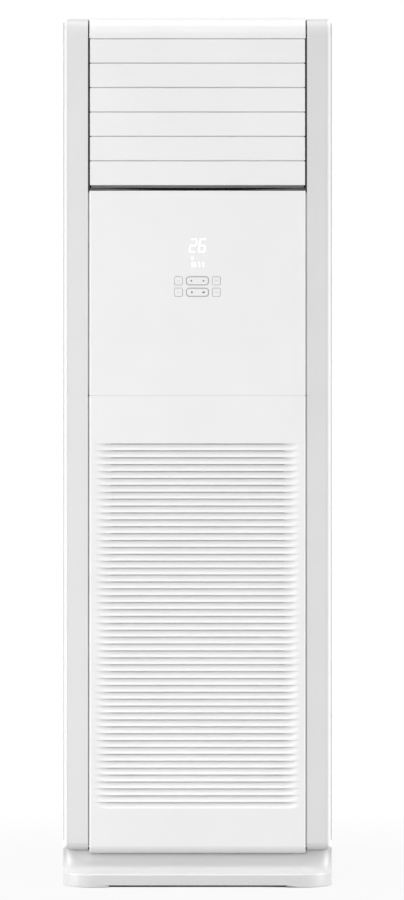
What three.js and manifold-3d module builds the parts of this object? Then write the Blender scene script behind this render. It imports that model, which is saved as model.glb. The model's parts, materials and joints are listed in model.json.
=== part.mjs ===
// Floor standing air conditioner, built from the pieces that it comes apart into.
// Millimetres. +Z is up, the front faces -Y and X runs to the right as seen from the front.
// The origin is on the floor, under the middle of the unit.

import * as THREE from 'three';
import { mergeVertices } from 'three/addons/utils/BufferGeometryUtils.js';
import Module from 'manifold-3d';

// Clearances
const touchGap = 0.3; // between pieces that seat on each other
const runGap = 0.4; // around a piece that moves
const overlap = 1; // how far two shapes of one solid run into each other

// Whole unit
const unitWidth = 580;
const unitDepth = 400;
const unitHeight = 1870;

// Front, from the top down
const capFace = 48.3; // down to the highest louver's upper seam
const louverSill = 11; // from the lowest louver's lower seam to the display panel
const displayHeight = 440.3; // from the display panel's top to the middle seam
const midSeam = 1; // between the display panel and the intake panel

// Front, seen from above
const faceSetback = 14; // from the plinth's lip back to the centre panels
const sideBand = 58; // from a centre panel's edge out to the unit's side
const faceSeam = 3.3; // between a centre panel and a post
const postSetback = 2; // from the centre panels back to a post
const postLean = 10; // how far a post falls back from its inner edge to its outer edge
const cornerStrip = 10.7; // what shows of a side panel from the front
const backSetback = 12; // from the plinth's back edge in to the back panel
const backCorner = 8;

// Front, seen from the side
const capDrop = 2; // how much lower the posts end than the cap
const topRadius = 38;
const bottomRadius = 18;
const topCornerRise = 26; // height of the round at a side panel's top corner
const bottomCornerRise = 17;
const bottomCornerRun = 8;

// Walls
const sheet = 1.2; // painted steel
const wall = 3; // moulded plastic
const edgeRadius = 3;
const returnDepth = 20; // how far a centre panel's sides turn back
const lipDepth = 8; // how far its top and bottom turn back
const webDepth = 64; // how far a post's inner web runs back
const hookWidth = 6; // a centre panel's hooks, which catch in the posts
const hookHeight = 12;
const hookInset = 2; // from the end of a panel's return to its hooks
const ribInset = 40; // from the back panel's sides to its stiffening ribs
const ribRise = 2;
const ribFoot = 18; // height of a rib where it leaves the panel
const ribCrest = 12;
const ribCount = 3;
const ribSpread = 0.2; // share of the height between ribs

// Plinth
const plinthHeight = 80;
const lipHeight = 30;
const lipRound = 4;
const coveDepth = 36; // how far the plinth steps back under the panels
const coveBand = 2; // upright band above the cove
const plinthCorner = 70;
const plinthWall = 14;
const plinthFloor = 5;
const footHeight = 3;
const footWidth = 100;

// Intake panel
const intakeBottom = 73;
const curlEnd = 260; // degrees to which the bottom edge curls back
const slotPitch = 14.81;
const slotTopDrop = 102.8; // from the panel's top down to the highest slot
const slotFoot = 180; // no slot starts lower than this
const slotBorder = 46; // from the panel's side in to where a slot starts to run out
const slotRunOut = 36;
const slotEndShare = 0.05; // of the full depth, at the very end of a slot
const slotGroove = 8; // depth of the slope in front of the air gap
const slotLip = 1.4; // flat front edge of a slat
const slotRise = 2.5; // how far the air gap climbs behind the slat above
const grilleWall = 12;
const grilleBorder = 14;
const intakePivotDepth = 14;
const intakePivotHeight = 88;
const intakePinRadius = 3.5;

// Louvers and their drive
const louverCount = 6;
const louverPitch = 52.45;
const louverSeam = 1.3;
const louverEnd = 1.2; // from a louver's end to the edge of the centre panels
const louverEdge = 4; // thickness at the long edges
const louverMiddle = 7; // thickness at the middle
const louverRound = 1.9;
const louverPivotDepth = 16; // axle behind the front face
const axleRadius = 3;
const hubRadius = 6;
const earWidth = 4;
const crankReach = 16;
const crankAngle = 45; // above the level, towards the back, with the louvers closed
const crankRadius = 4.5;
const crankPlate = 3;
const crankOffset = 8; // from the post's inner edge in to the crank
const linkPlate = 3.6;
const linkWidth = 8;
const linkPinRadius = 2;

// Vanes and their drive
const vanePitch = 62;
const vaneChord = 56;
const vaneThickness = 2.4;
const vanePinRadius = 2.5;
const vaneClear = 4; // between the open louvers and the vanes
const vaneCrank = 20;
const ductTail = 14; // duct behind the vanes
const ductWall = 3.7;
const ductPlate = 4;
const linkGap = 2; // above and below the vanes' link, and over the vanes
const ceilingRise = 5.3; // room over the top louver for its swing

// Stepper motors of the louvers and the vanes
const stepperRadius = 14;
const stepperLength = 18;
const stepperOffset = 8;
const stepperLug = 8; // width of its two ears
const stepperReach = 5; // how far an ear stands out
const stepperFlange = 1;

// Display and keys
const keyDrop = 194; // from the panel's top down to the upper row
const keyRowPitch = 24.6;
const smallKeyX = 40.7;
const smallKeyWidth = 18.5;
const keyHeight = 19.5;
const smallKeyCorner = 4;
const rockerWidth = 49.4;
const rockerCorner = 7;
const rockerContactX = 13;
const keyFlange = 1.2;
const keyFlangeGap = 1; // lets a key tilt or travel behind the panel
const keySwitchGap = 1.2; // from a key to its switch
const switchRadius = 3;
const boardGap = 5; // from the panel's inner face to the board
const boardThickness = 1.6;
const boardHalfWidth = 72;
const boardDrop = 88; // from the panel's top down to the board
const boardHeight = 152;
const lampHalfWidth = 22;
const digitDrop = 100; // from the panel's top down to the digits
const digitHeight = 38;
const iconDrop = 144;
const iconHeight = 26;
const standoffRadius = 3;
const standoffInset = 6; // from the board's edges

// Fan
const fanX = -10;
const fanZ = 400;
const scrollSide = 35; // from the scroll's widest place to the unit's side
const wheelWidth = 115;
const wheelGap = 9.5; // from the scroll's front wall to the wheel
const wheelBlades = 20;
const wheelBladeThickness = 3;
const wheelBladeDepth = 34;
const bladeCurve = 21; // radius of a blade's bow
const bladeLean = 130; // degrees from the wheel's radius to where the bow starts
const bladeSweep = 100; // degrees
const wheelPlate = 3;
const wheelRing = 4;
const ringOverhang = 6; // from the ring's bore out to the blades' inner edges
const hubOuter = 26;
const hubLength = 30;
const shaftRadius = 8;
const shaftReach = 36; // how far the shaft runs into the wheel
const scrollRoom = 218; // from the back panel's outer face to the scroll's front
const scrollDepth = 150;
const scrollWall = 1.5;
const tongueGap = 18; // between the wheel and the scroll at the tongue
const scrollGrowth = 57; // how much the scroll widens from the tongue to the outlet
const tongueAngle = 55;
const scrollLegWidth = 10;
const bellInset = 40; // from the wheel's rim in to the bell's throat
const bellLip = 22;
const bellDepth = 16;
const bellWall = 3;
const bellRound = 3; // how far the mouth's inner edge falls back
const bellRim = 2; // and its outer edge
const bellClear = 1; // between the bell's neck and the hole in the scroll
const motorRadius = 62;
const motorLength = 44;
const motorFrontRound = 5;
const motorBackRound = 8;
const motorEndShare = 0.88; // of the radius, at the ends
const bracketHalf = 92;
const bracketPlate = 3;
const bracketCorner = 20;

// Coil chamber
const partitionHeight = 740;
const partitionPlate = 1.5;
const panDepth = 84;
const panHeight = 40;
const panWall = 2;
const panFrontGap = 4;
const panSide = 16; // from the coil's end to the end of the pan
const coilSide = 70; // from the coil's end to the unit's side
const coilThickness = 60;
const coilSetback = 7.2; // from the pan's middle forward to the foot of the coil
const coilHeadroom = 95; // from the top of the coil up to the duct
const coilLean = 16; // degrees
const coilEndPlate = 3;
const coilEndMargin = 3;
const coilCore = 8; // the plane of the tubes, which the fins stand on
const finPitch = 27; // each fin stands for a group of thin ones
const finThickness = 5;
const bendCount = 8;
const bendWidth = 12;
const bendHeight = 34;
const bendCorner = 5.5;
const sealThickness = 1.5;
const sealOverlap = 8;
const spigotRadius = 9;
const spigotSide = 5; // from the coil's end out to the spigot
const spigotLength = 12; // below the partition

// Electric box
const boxRise = 34.3; // from the middle seam up to the box
const boxDrop = 96; // from the display panel's top down to the box
const boxDepth = 38;
const boxSheet = 1.5;
const lidRib = 4;
const lidRibRise = 2;
const lidRibInset = 30;
const terminalWidth = 90;
const terminalHeight = 26;
const terminalDepth = 20;
const terminalInset = 40; // from the box's side
const terminalCount = 5;
const terminalGroove = 12;
const terminalGrooveDepth = 8;
const terminalFloor = 4;

// Pipes, hose, grommet and gland at the back
const gasRadius = 8;
const gasJoin = 270; // from the partition up to where the pipe leaves the coil
const gasExitX = 14; // from the grommet's middle
const gasExitZ = 16;
const liquidRadius = 5;
const liquidJoin = 200;
const liquidExitX = -16;
const liquidExitZ = 14;
const pipeSide = 40; // from the gas pipe to the unit's side
const pipeSpacing = 16;
const pipeBack = 36; // from the pipes to the back panel's outer face
const pipeStub = 8; // straight out of the coil
const pipeBend = 26;
const pipeStraight = 60; // straight above and below the partition
const pipeFall = 110; // from where the pipe turns in down to its exit
const pipeClear = 0.8; // round a pipe where it passes through a plate
const exitRun = 22; // straight before the back panel
const exitEnd = 1; // from a pipe's end in to the unit's back
const hoseRadius = 8;
const hoseExitZ = -22;
const hoseSide = 8.2; // from the hose to the side panel
const hoseStub = 22; // straight down from the spigot
const hoseTurn = 12;
const hoseTurnFall = 78; // from the spigot's end down to the turn
const hoseSlope = 50;
const hoseSlopeFall = 208;
const hoseRearFall = 368;
const hoseRear = 132;
const hoseLowFall = 448;
const hoseLow = 202;
const hoseLift = 6; // above its exit, just before it turns out
const grommetSide = 65; // from the grommet's middle to the unit's side
const grommetZ = 262;
const grommetRadius = 42;
const grommetFlange = 5;
const grommetPlate = 2.2;
const grommetDepth = 2; // how far it reaches inside the back panel
const glandSide = 90;
const glandZ = 180;
const glandRadius = 10;
const glandBore = 6;
const glandFlange = 5;
const glandNut = 6;
const glandThread = 14; // inside the back panel
const glandEnd = 2; // from the gland's end in to the unit's back

// Filter
const filterBottom = 124;
const filterDrop = 55.2; // from the intake panel's top down to the filter
const filterThickness = 7;
const filterDepth = 28; // from the front face back to the filter
const filterBorder = 10;
const filterRib = 4;
const filterColumns = 3;
const filterRows = 5;
const filterMesh = 1.2;
const railLip = 2;
const railReach = 5;

// Wall bracket on the top
const bracketWidth = 80;
const bracketLeg = 60;
const bracketRun = 70;

// Places that follow from the sizes above
const halfWidth = unitWidth / 2;
const halfDepth = unitDepth / 2;
const faceHalfWidth = halfWidth - sideBand;
const louverTopEdge = unitHeight - capFace;
const sillHeight = louverTopEdge - louverCount * louverPitch - louverSill;
const midSeamHeight = sillHeight - displayHeight;
const faceY = faceSetback - halfDepth;
const postY = faceY + postSetback;
const cornerY = postY + postLean;
const backY = halfDepth - backSetback;
const postInnerX = faceHalfWidth + faceSeam;
const stripX = halfWidth - cornerStrip;
const postOuterX = stripX - touchGap;
const shellInnerX = halfWidth - sheet;
const shellBottom = plinthHeight + touchGap;
const shellTop = unitHeight - capDrop;
const webBackY = postY + webDepth;
const lowerSeam = midSeamHeight - midSeam / 2;
const upperSeam = midSeamHeight + midSeam / 2;
const louverX = faceHalfWidth - louverEnd;
const louverY = faceY + louverPivotDepth;
const louverHalf = (louverPitch - louverSeam) / 2;
const slotTop = lowerSeam - slotTopDrop;
const slotCount = Math.floor((slotTop - slotFoot) / slotPitch) + 1;
const slotHalfLength = faceHalfWidth - slotBorder;
const filterTop = lowerSeam - filterDrop;
const ductInnerX = postInnerX - touchGap - ductWall;
const vaneCount = Math.floor(2 * ductInnerX / vanePitch);
const ductFloorTop = sillHeight + touchGap;
const ceilingBottom = louverTopEdge + ceilingRise;
const vaneY = louverY + louverHalf + vaneClear + vaneChord / 2;
const ductBackY = vaneY + vaneChord / 2 + ductTail;
const scrollFront = backY - scrollRoom;
const scrollBack = scrollFront + scrollDepth;
const scrollLargeX = halfWidth - scrollSide;
const wheelRadius = scrollLargeX - fanX - tongueGap - scrollGrowth;
const wheelBack = scrollFront + scrollWall + wheelGap + wheelWidth;
const bellRadius = wheelRadius - bellInset;
const partitionTop = partitionHeight + partitionPlate;
const coilHalfWidth = halfWidth - coilSide;
const grommetX = halfWidth - grommetSide;
const glandX = glandSide - halfWidth;
const pipeX = halfWidth - pipeSide;
const pipeY = backY - pipeBack;

// Solids: geometry is joined and cut with manifold-3d
const wasm = await Module();
wasm.setup();

function solidOf(geometry) {
  const bare = geometry.clone();
  bare.deleteAttribute('normal');
  bare.deleteAttribute('uv');
  const merged = mergeVertices(bare);
  return new wasm.Manifold(new wasm.Mesh({
    numProp: 3,
    vertProperties: new Float32Array(merged.attributes.position.array),
    triVerts: new Uint32Array(merged.index.array),
  }));
}

function geometryOf(solid) {
  const mesh = solid.getMesh();
  const geometry = new THREE.BufferGeometry();
  geometry.setAttribute('position', new THREE.BufferAttribute(mesh.vertProperties, 3));
  geometry.setIndex(new THREE.BufferAttribute(mesh.triVerts, 1));
  geometry.computeVertexNormals();
  return geometry;
}

const join = (first, ...others) => others.reduce((sum, solid) => sum.add(solid), first);
const cut = (first, ...others) => others.reduce((rest, solid) => rest.subtract(solid), first);
const common = (first, ...others) => others.reduce((shared, solid) => shared.intersect(solid), first);

// An outline lies in the plane square to its axis: (y, z) for x, (z, x) for y and (x, y) for z.
const unit = { x: [1, 0, 0], y: [0, 1, 0], z: [0, 0, 1] };
const planeOf = { x: ['y', 'z'], y: ['z', 'x'], z: ['x', 'y'] };

function toPlace(axis) {
  const [u, v] = planeOf[axis];
  return new THREE.Matrix4().makeBasis(
    new THREE.Vector3(...unit[u]), new THREE.Vector3(...unit[v]), new THREE.Vector3(...unit[axis]));
}

function prismShape(axis, outline, low, high) {
  const shape = new THREE.Shape(outline.map(([u, v]) => new THREE.Vector2(u, v)));
  const geometry = new THREE.ExtrudeGeometry(shape, { depth: high - low, bevelEnabled: false });
  return geometry.translate(0, 0, low).applyMatrix4(toPlace(axis));
}

const prism = (axis, outline, low, high) => solidOf(prismShape(axis, outline, low, high));

// A skin over sections with the same number of points, closed at both ends
function loft(axis, sections) {
  const count = sections[0].outline.length;
  const flat = sections[0].outline.map(([u, v]) => new THREE.Vector2(u, v));
  const turned = THREE.ShapeUtils.area(flat) < 0;
  const positions = [];
  for (const { at, outline } of sections) {
    const ordered = turned ? [...outline].reverse() : outline;
    for (const [u, v] of ordered) positions.push(u, v, at);
  }
  const index = [];
  for (let ring = 0; ring + 1 < sections.length; ring += 1) {
    for (let i = 0; i < count; i += 1) {
      const next = (i + 1) % count;
      const [a, b] = [ring * count + i, ring * count + next];
      index.push(a, b, b + count, a, b + count, a + count);
    }
  }
  const first = turned ? flat.reverse() : flat;
  const last = (sections.length - 1) * count;
  for (const [a, b, c] of THREE.ShapeUtils.triangulateShape(first, [])) {
    index.push(a, c, b, last + a, last + b, last + c);
  }
  const geometry = new THREE.BufferGeometry();
  geometry.setAttribute('position', new THREE.Float32BufferAttribute(positions, 3));
  geometry.setIndex(index);
  return solidOf(geometry.applyMatrix4(toPlace(axis)));
}

function box([x0, x1], [y0, y1], [z0, z1]) {
  const geometry = new THREE.BoxGeometry(x1 - x0, y1 - y0, z1 - z0);
  return solidOf(geometry.translate((x0 + x1) / 2, (y0 + y1) / 2, (z0 + z1) / 2));
}

// A round bar along an axis; its centre is given in the axis's plane
function rod(axis, [u, v], radius, [low, high], sides = 16) {
  const geometry = new THREE.CylinderGeometry(radius, radius, high - low, sides);
  geometry.rotateX(Math.PI / 2).translate(u, v, (low + high) / 2);
  return solidOf(geometry.applyMatrix4(toPlace(axis)));
}

// A turned piece round an axis; its profile is (radius, place along the axis)
function turned(axis, [u, v], profile, sides = 32) {
  const geometry = new THREE.LatheGeometry(profile.map(([r, w]) => new THREE.Vector2(r, w)), sides);
  geometry.rotateX(Math.PI / 2).translate(u, v, 0);
  return solidOf(geometry.applyMatrix4(toPlace(axis)));
}

function arc([u, v], [ru, rv], from, to, steps) {
  return Array.from({ length: steps + 1 }, (_, i) => {
    const angle = THREE.MathUtils.degToRad(from + (to - from) * i / steps);
    return [u + ru * Math.cos(angle), v + rv * Math.sin(angle)];
  });
}

function roundedRect([u, v], width, height, radius, steps = 3) {
  const [du, dv] = [width / 2 - radius, height / 2 - radius];
  return [[du, dv, 0], [-du, dv, 90], [-du, -dv, 180], [du, -dv, 270]].flatMap(([cu, cv, from]) =>
    arc([u + cu, v + cv], [radius, radius], from, from + 90, steps));
}

function tube(points, radius, sides = 8, steps = 34) {
  const places = points.map((point) => new THREE.Vector3(...point));
  const path = new THREE.CatmullRomCurve3(places, false, 'centripetal');
  const ring = new THREE.Shape(arc([0, 0], [radius, radius], 0, 360 - 360 / sides, sides - 1)
    .map(([u, v]) => new THREE.Vector2(u, v)));
  return solidOf(new THREE.ExtrudeGeometry(ring, { steps, extrudePath: path, bevelEnabled: false }));
}

function mirrored(geometry) {
  const copy = geometry.clone().scale(-1, 1, 1);
  const { array } = copy.index;
  for (let i = 0; i < array.length; i += 3) [array[i], array[i + 1]] = [array[i + 1], array[i]];
  copy.computeVertexNormals();
  return copy;
}

// Finishes
const finishes = {
  panelWhite: { color: 0xf3f3f3, roughness: 0.38, metalness: 0 },
  sideWhite: { color: 0xf7f7f7, roughness: 0.42, metalness: 0 },
  postGrey: { color: 0xdededf, roughness: 0.4, metalness: 0 },
  keyWhite: { color: 0xeeeeee, roughness: 0.35, metalness: 0 },
  ductGrey: { color: 0x2c2d30, roughness: 0.7, metalness: 0 },
  innerPlastic: { color: 0x9da1a4, roughness: 0.6, metalness: 0 },
  galvanised: { color: 0xb4b8ba, roughness: 0.45, metalness: 0.8 },
  fin: { color: 0xc9ccce, roughness: 0.4, metalness: 0.9 },
  copper: { color: 0xb87147, roughness: 0.35, metalness: 0.95 },
  steel: { color: 0x8d9093, roughness: 0.35, metalness: 0.9 },
  motorBlack: { color: 0x24262a, roughness: 0.55, metalness: 0.3 },
  board: { color: 0x1f5b3a, roughness: 0.5, metalness: 0 },
  rubber: { color: 0x2a2a2a, roughness: 0.85, metalness: 0 },
  hose: { color: 0xd8d8d4, roughness: 0.6, metalness: 0 },
  mesh: { color: 0x8f9497, roughness: 0.8, metalness: 0 },
};

const group = new THREE.Group();

function addMesh(name, geometry, finish) {
  const mesh = new THREE.Mesh(geometry, new THREE.MeshStandardMaterial(finishes[finish]));
  mesh.name = name;
  group.add(mesh);
}

const add = (name, solid, finish) => addMesh(name, geometryOf(solid), finish);

// Base: a hollow plinth whose front steps back in a cove under the panels
function plinthOutline(setback) {
  const [run, fall] = [plinthCorner, plinthCorner - setback];
  const centreX = halfWidth - run;
  const centreY = plinthCorner - halfDepth;
  return [
    ...arc([centreX, centreY], [run, fall], -90, 0, 8),
    ...arc([halfWidth - backCorner, halfDepth - backCorner], [backCorner, backCorner], 0, 90, 2),
    ...arc([backCorner - halfWidth, halfDepth - backCorner], [backCorner, backCorner], 90, 180, 2),
    ...arc([-centreX, centreY], [run, fall], 180, 270, 8),
  ];
}

function basePlinth() {
  const coveTop = plinthHeight - coveBand;
  const cove = arc([lipRound, coveTop], [coveDepth - lipRound, coveTop - lipHeight], -90, 0, 6)
    .map(([setback, at]) => ({ at, outline: plinthOutline(setback) }));
  const body = loft('z', [
    { at: 0, outline: plinthOutline(lipRound / 2) },
    { at: footHeight, outline: plinthOutline(0) },
    { at: lipHeight - lipRound, outline: plinthOutline(0) },
    { at: lipHeight - lipRound / 3, outline: plinthOutline(lipRound / 3) },
    ...cove,
    { at: plinthHeight, outline: plinthOutline(coveDepth) },
  ]);
  const pocketX = halfWidth - plinthWall;
  const pocket = box([-pocketX, pocketX], [coveDepth + plinthWall - halfDepth, halfDepth - plinthWall],
    [footHeight + plinthFloor, plinthHeight + overlap]);
  const footX = halfWidth - footWidth;
  const footY = halfDepth - footWidth;
  const under = [-overlap, footHeight];
  return cut(body, pocket,
    box([-footX, footX], [-unitDepth, unitDepth], under),
    box([-unitWidth, unitWidth], [-footY, footY], under));
}

// Side panel: a steel shell that wraps round to the front, the top, the bottom and the back
function sideSolid(inset, innerX) {
  const round = (radius) => radius - inset;
  const [front, back] = [cornerY + inset, backY - inset];
  const [bottom, top] = [shellBottom + inset, shellTop - inset];
  const outerX = halfWidth - inset;
  const topRun = topRadius - postLean;
  const bottomRun = bottomRadius - postLean;
  const plan = [
    [innerX, front],
    ...arc([stripX, cornerY + cornerStrip], [round(cornerStrip), round(cornerStrip)], -90, 0, 5),
    ...arc([halfWidth - backCorner, backY - backCorner], [round(backCorner), round(backCorner)], 0, 90, 3),
    [innerX, back],
  ];
  const side = [
    [back, bottom], [back, top],
    ...arc([cornerY + topRun, shellTop - topRadius], [round(topRun), round(topRadius)], 90, 180, 6),
    ...arc([cornerY + bottomRun, shellBottom + bottomRadius], [round(bottomRun), round(bottomRadius)],
      180, 270, 4),
  ];
  const elevation = [
    [innerX, bottom],
    ...arc([halfWidth - bottomCornerRun, shellBottom + bottomCornerRise],
      [round(bottomCornerRun), round(bottomCornerRise)], -90, 0, 4),
    ...arc([stripX, shellTop - topCornerRise], [round(cornerStrip), round(topCornerRise)], 0, 90, 5),
    [innerX, top],
  ];
  return common(
    prism('z', plan, bottom, top),
    prism('x', side, innerX, outerX),
    prism('y', elevation.map(([x, z]) => [z, x]), front, back));
}

const sidePanel = () => cut(sideSolid(0, stripX), sideSolid(sheet, stripX - overlap));

// Post: a front strip with an inner web; the strip falls back towards its outer edge
function leanPost(geometry) {
  const place = geometry.attributes.position;
  const flatFrom = postY + topRadius;
  for (let i = 0; i < place.count; i += 1) {
    const share = THREE.MathUtils.clamp((flatFrom - place.getY(i)) / topRadius, 0, 1);
    const across = (place.getX(i) - postInnerX) / (stripX - postInnerX);
    place.setY(i, place.getY(i) + postLean * share * across);
  }
  return solidOf(geometry);
}

function post(bottom, top, roundTop) {
  const radius = roundTop ? topRadius : bottomRadius;
  const path = (inset) => (roundTop
    ? [[webBackY, top - inset], ...arc([postY + radius, top - radius], [radius - inset, radius - inset],
      90, 180, 6), [postY + inset, bottom]]
    : [[postY + inset, top], ...arc([postY + radius, bottom + radius], [radius - inset, radius - inset],
      180, 270, 5)]);
  const strip = [...path(0), ...path(wall).reverse()];
  const web = [...path(0), [webBackY, bottom], ...(roundTop ? [] : [[webBackY, top]])];
  return leanPost(prismShape('x', strip, postInnerX, postOuterX))
    .add(leanPost(prismShape('x', web, postInnerX, postInnerX + wall)));
}

const louverZ = (row) => louverTopEdge - louverPitch * (row + 0.5);
const louverRows = Array.from({ length: louverCount }, (_, row) => row);

function upperPost() {
  const through = [postInnerX - overlap, postInnerX + wall + overlap];
  const holes = louverRows.map((row) =>
    rod('x', [louverY, louverZ(row)], axleRadius + runGap, through, 8));
  return cut(post(upperSeam, shellTop, true), ...holes);
}

function lowerPost() {
  const filterY = faceY + filterDepth;
  const railTop = filterTop + filterBorder;
  const x = [postInnerX - railReach, postInnerX + overlap];
  const rail = (y) => box(x, [y, y + railLip], [filterBottom - railLip - touchGap, railTop]);
  const step = box(x, [filterY - runGap - overlap, filterY + filterThickness + runGap + overlap],
    [filterBottom - railLip - touchGap, filterBottom - touchGap]);
  const pinHole = rod('x', [faceY + intakePivotDepth, intakePivotHeight], intakePinRadius + runGap,
    [postInnerX - overlap, postInnerX + wall + overlap], 12);
  return cut(join(post(shellBottom, lowerSeam, false),
    rail(filterY - runGap - railLip), rail(filterY + filterThickness + runGap), step), pinHole);
}

// Across the seam from a centre panel's edge to the post beside it
const hookSpan = (side) => [side * (faceHalfWidth - overlap), side * (postInnerX - touchGap)]
  .sort((a, b) => a - b);

// Top cap: a curved fascia over the air outlet, with ribs that close its ends
function topCap() {
  const bottom = louverTopEdge + louverSeam / 2;
  const path = (inset) => [[webBackY, unitHeight - inset],
    ...arc([faceY + topRadius, unitHeight - topRadius], [topRadius - inset, topRadius - inset], 90, 180, 8),
    [faceY + inset, bottom]];
  const ribBottom = ceilingBottom + ductPlate + touchGap;
  const rib = [...path(0).slice(0, -1), [faceY, ribBottom], [webBackY, ribBottom]];
  const hook = (side) => box(hookSpan(side), [faceY + topRadius, webBackY - wall],
    [ribBottom, ribBottom + wall]);
  return join(
    prism('x', [...path(0), ...path(wall).reverse()], -faceHalfWidth, faceHalfWidth),
    prism('x', rib, -faceHalfWidth, wall - faceHalfWidth),
    prism('x', rib, faceHalfWidth - wall, faceHalfWidth),
    hook(1), hook(-1));
}

const topPlate = () => box([-postOuterX, postOuterX], [webBackY + touchGap, backY],
  [shellTop - sheet, shellTop]);

function wallBracket() {
  const leg = shellTop - bracketLeg;
  const seat = shellTop + touchGap;
  const outline = [
    [halfDepth - bracketRun, seat], [halfDepth - sheet, seat], [halfDepth - sheet, leg], [halfDepth, leg],
    [halfDepth, seat + sheet - touchGap], [halfDepth - bracketRun, seat + sheet - touchGap],
  ];
  return prism('x', outline, -bracketWidth / 2, bracketWidth / 2);
}

function backPanel() {
  const front = backY - sheet;
  const plate = box([-postOuterX, postOuterX], [front, backY], [shellBottom, shellTop - sheet - touchGap]);
  const root = backY - sheet / 2;
  const crest = backY + ribRise;
  const ribs = Array.from({ length: ribCount }, (_, i) => {
    const share = 0.5 + (i - (ribCount - 1) / 2) * ribSpread;
    const z = shellBottom + share * (shellTop - shellBottom);
    const outline = [[root, z - ribFoot / 2], [crest, z - ribCrest / 2],
      [crest, z + ribCrest / 2], [root, z + ribFoot / 2]];
    return prism('x', outline, ribInset - postOuterX, postOuterX - ribInset);
  });
  const through = [front - overlap, backY + overlap];
  return cut(join(plate, ...ribs),
    rod('y', [grommetZ, grommetX], grommetRadius + touchGap, through, 28),
    rod('y', [glandZ, glandX], glandRadius + touchGap, through, 16));
}

// Display panel, its board and its keys
const keyTopRow = sillHeight - keyDrop;
const keyRows = [keyTopRow, keyTopRow - keyRowPitch];
const boardTop = sillHeight - boardDrop;
const boardBottom = boardTop - boardHeight;
const keyNames = ['upper', 'lower'];
const switchFace = faceY + wall + keyFlangeGap + keyFlange + keySwitchGap;
const boardY = faceY + wall + boardGap;

// The front edges of a centre panel are rounded
function roundedFace([bottom, top]) {
  const half = faceHalfWidth;
  const back = faceY + returnDepth;
  const round = (u, from) => arc([u, faceY + edgeRadius], [edgeRadius, edgeRadius], from, from + 90, 3);
  const plan = [[half, back], [-half, back],
    ...round(edgeRadius - half, 180), ...round(half - edgeRadius, 270)];
  return prism('z', plan, bottom, top);
}

function displayPanel() {
  const [bottom, top] = [upperSeam, sillHeight];
  const innerX = faceHalfWidth - wall;
  const back = faceY + returnDepth + overlap;
  const hollow = box([-innerX, innerX], [faceY + wall, back], [bottom + wall, top - wall]);
  const behindLips = box([-innerX, innerX], [faceY + lipDepth, back], [bottom - overlap, top + overlap]);
  const underDuct = box([-halfWidth, halfWidth], [faceY + lipDepth, back],
    [ductFloorTop - ductPlate - touchGap, top + overlap]);
  const openings = keyRows.flatMap((z) => [-1, 0, 1].map((column) =>
    prism('y', keyOutline(column, z, 0), faceY - overlap, faceY + wall + overlap)));
  const standoffRows = [boardBottom + standoffInset, boardTop - standoffInset];
  const standoffs = [-1, 1].flatMap((side) => standoffRows.map((z) =>
    rod('y', [z, side * (boardHalfWidth - standoffInset)], standoffRadius,
      [faceY + wall - overlap, boardY - touchGap], 10)));
  const hookBack = faceY + returnDepth - hookInset;
  const hooks = [-1, 1].flatMap((side) => [0.15, 0.85].map((share) => {
    const z = bottom + share * (top - bottom);
    return box(hookSpan(side), [hookBack - hookWidth, hookBack], [z, z + hookHeight]);
  }));
  return join(cut(roundedFace([bottom, top]), hollow, behindLips, underDuct, ...openings),
    ...standoffs, ...hooks);
}

function keyOutline(column, z, inset) {
  const width = column === 0 ? rockerWidth : smallKeyWidth;
  const corner = column === 0 ? rockerCorner : smallKeyCorner;
  return roundedRect([z, column * smallKeyX], keyHeight - 2 * inset, width - 2 * inset, corner - inset);
}

function key(column, z) {
  const flangeFront = faceY + wall + keyFlangeGap;
  const cap = prism('y', keyOutline(column, z, runGap), faceY, flangeFront + keyFlange / 2);
  return cap.add(prism('y', keyOutline(column, z, -keyFlange), flangeFront, flangeFront + keyFlange));
}

function displayBoard() {
  const plate = box([-boardHalfWidth, boardHalfWidth], [boardY, boardY + boardThickness],
    [boardBottom, boardTop]);
  const switches = keyRows.flatMap((z) =>
    [-smallKeyX, -rockerContactX, rockerContactX, smallKeyX].map((x) =>
      rod('y', [z, x], switchRadius, [switchFace, boardY + boardThickness / 2], 8)));
  const lampFront = faceY + wall + runGap;
  const lamp = (top, height) => box([-lampHalfWidth, lampHalfWidth],
    [lampFront, boardY + boardThickness / 2], [top - height, top]);
  return join(plate, lamp(sillHeight - digitDrop, digitHeight), lamp(sillHeight - iconDrop, iconHeight),
    ...switches);
}

// Intake panel: slats cut as sloping grooves, each ending in an air gap hidden behind the slat above
function slotSection(top, share) {
  const depth = (y) => faceY - overlap + share * (y + overlap);
  const through = grilleWall + overlap;
  const landing = -(slotPitch - slotLip) * (1 + overlap / slotGroove);
  return [
    [depth(-overlap), top], [depth(slotGroove), top + slotRise], [depth(through), top + slotRise],
    [depth(through), top - slotRise / 4], [depth(slotGroove), top - slotRise / 4],
    [depth(-overlap), top + landing],
  ];
}

function slot(top) {
  const end = slotHalfLength + slotRunOut;
  const places = [[-end, slotEndShare], [-slotHalfLength, 1], [slotHalfLength, 1], [end, slotEndShare]];
  return loft('x', places.map(([at, share]) => ({ at, outline: slotSection(top, share) })));
}

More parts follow.
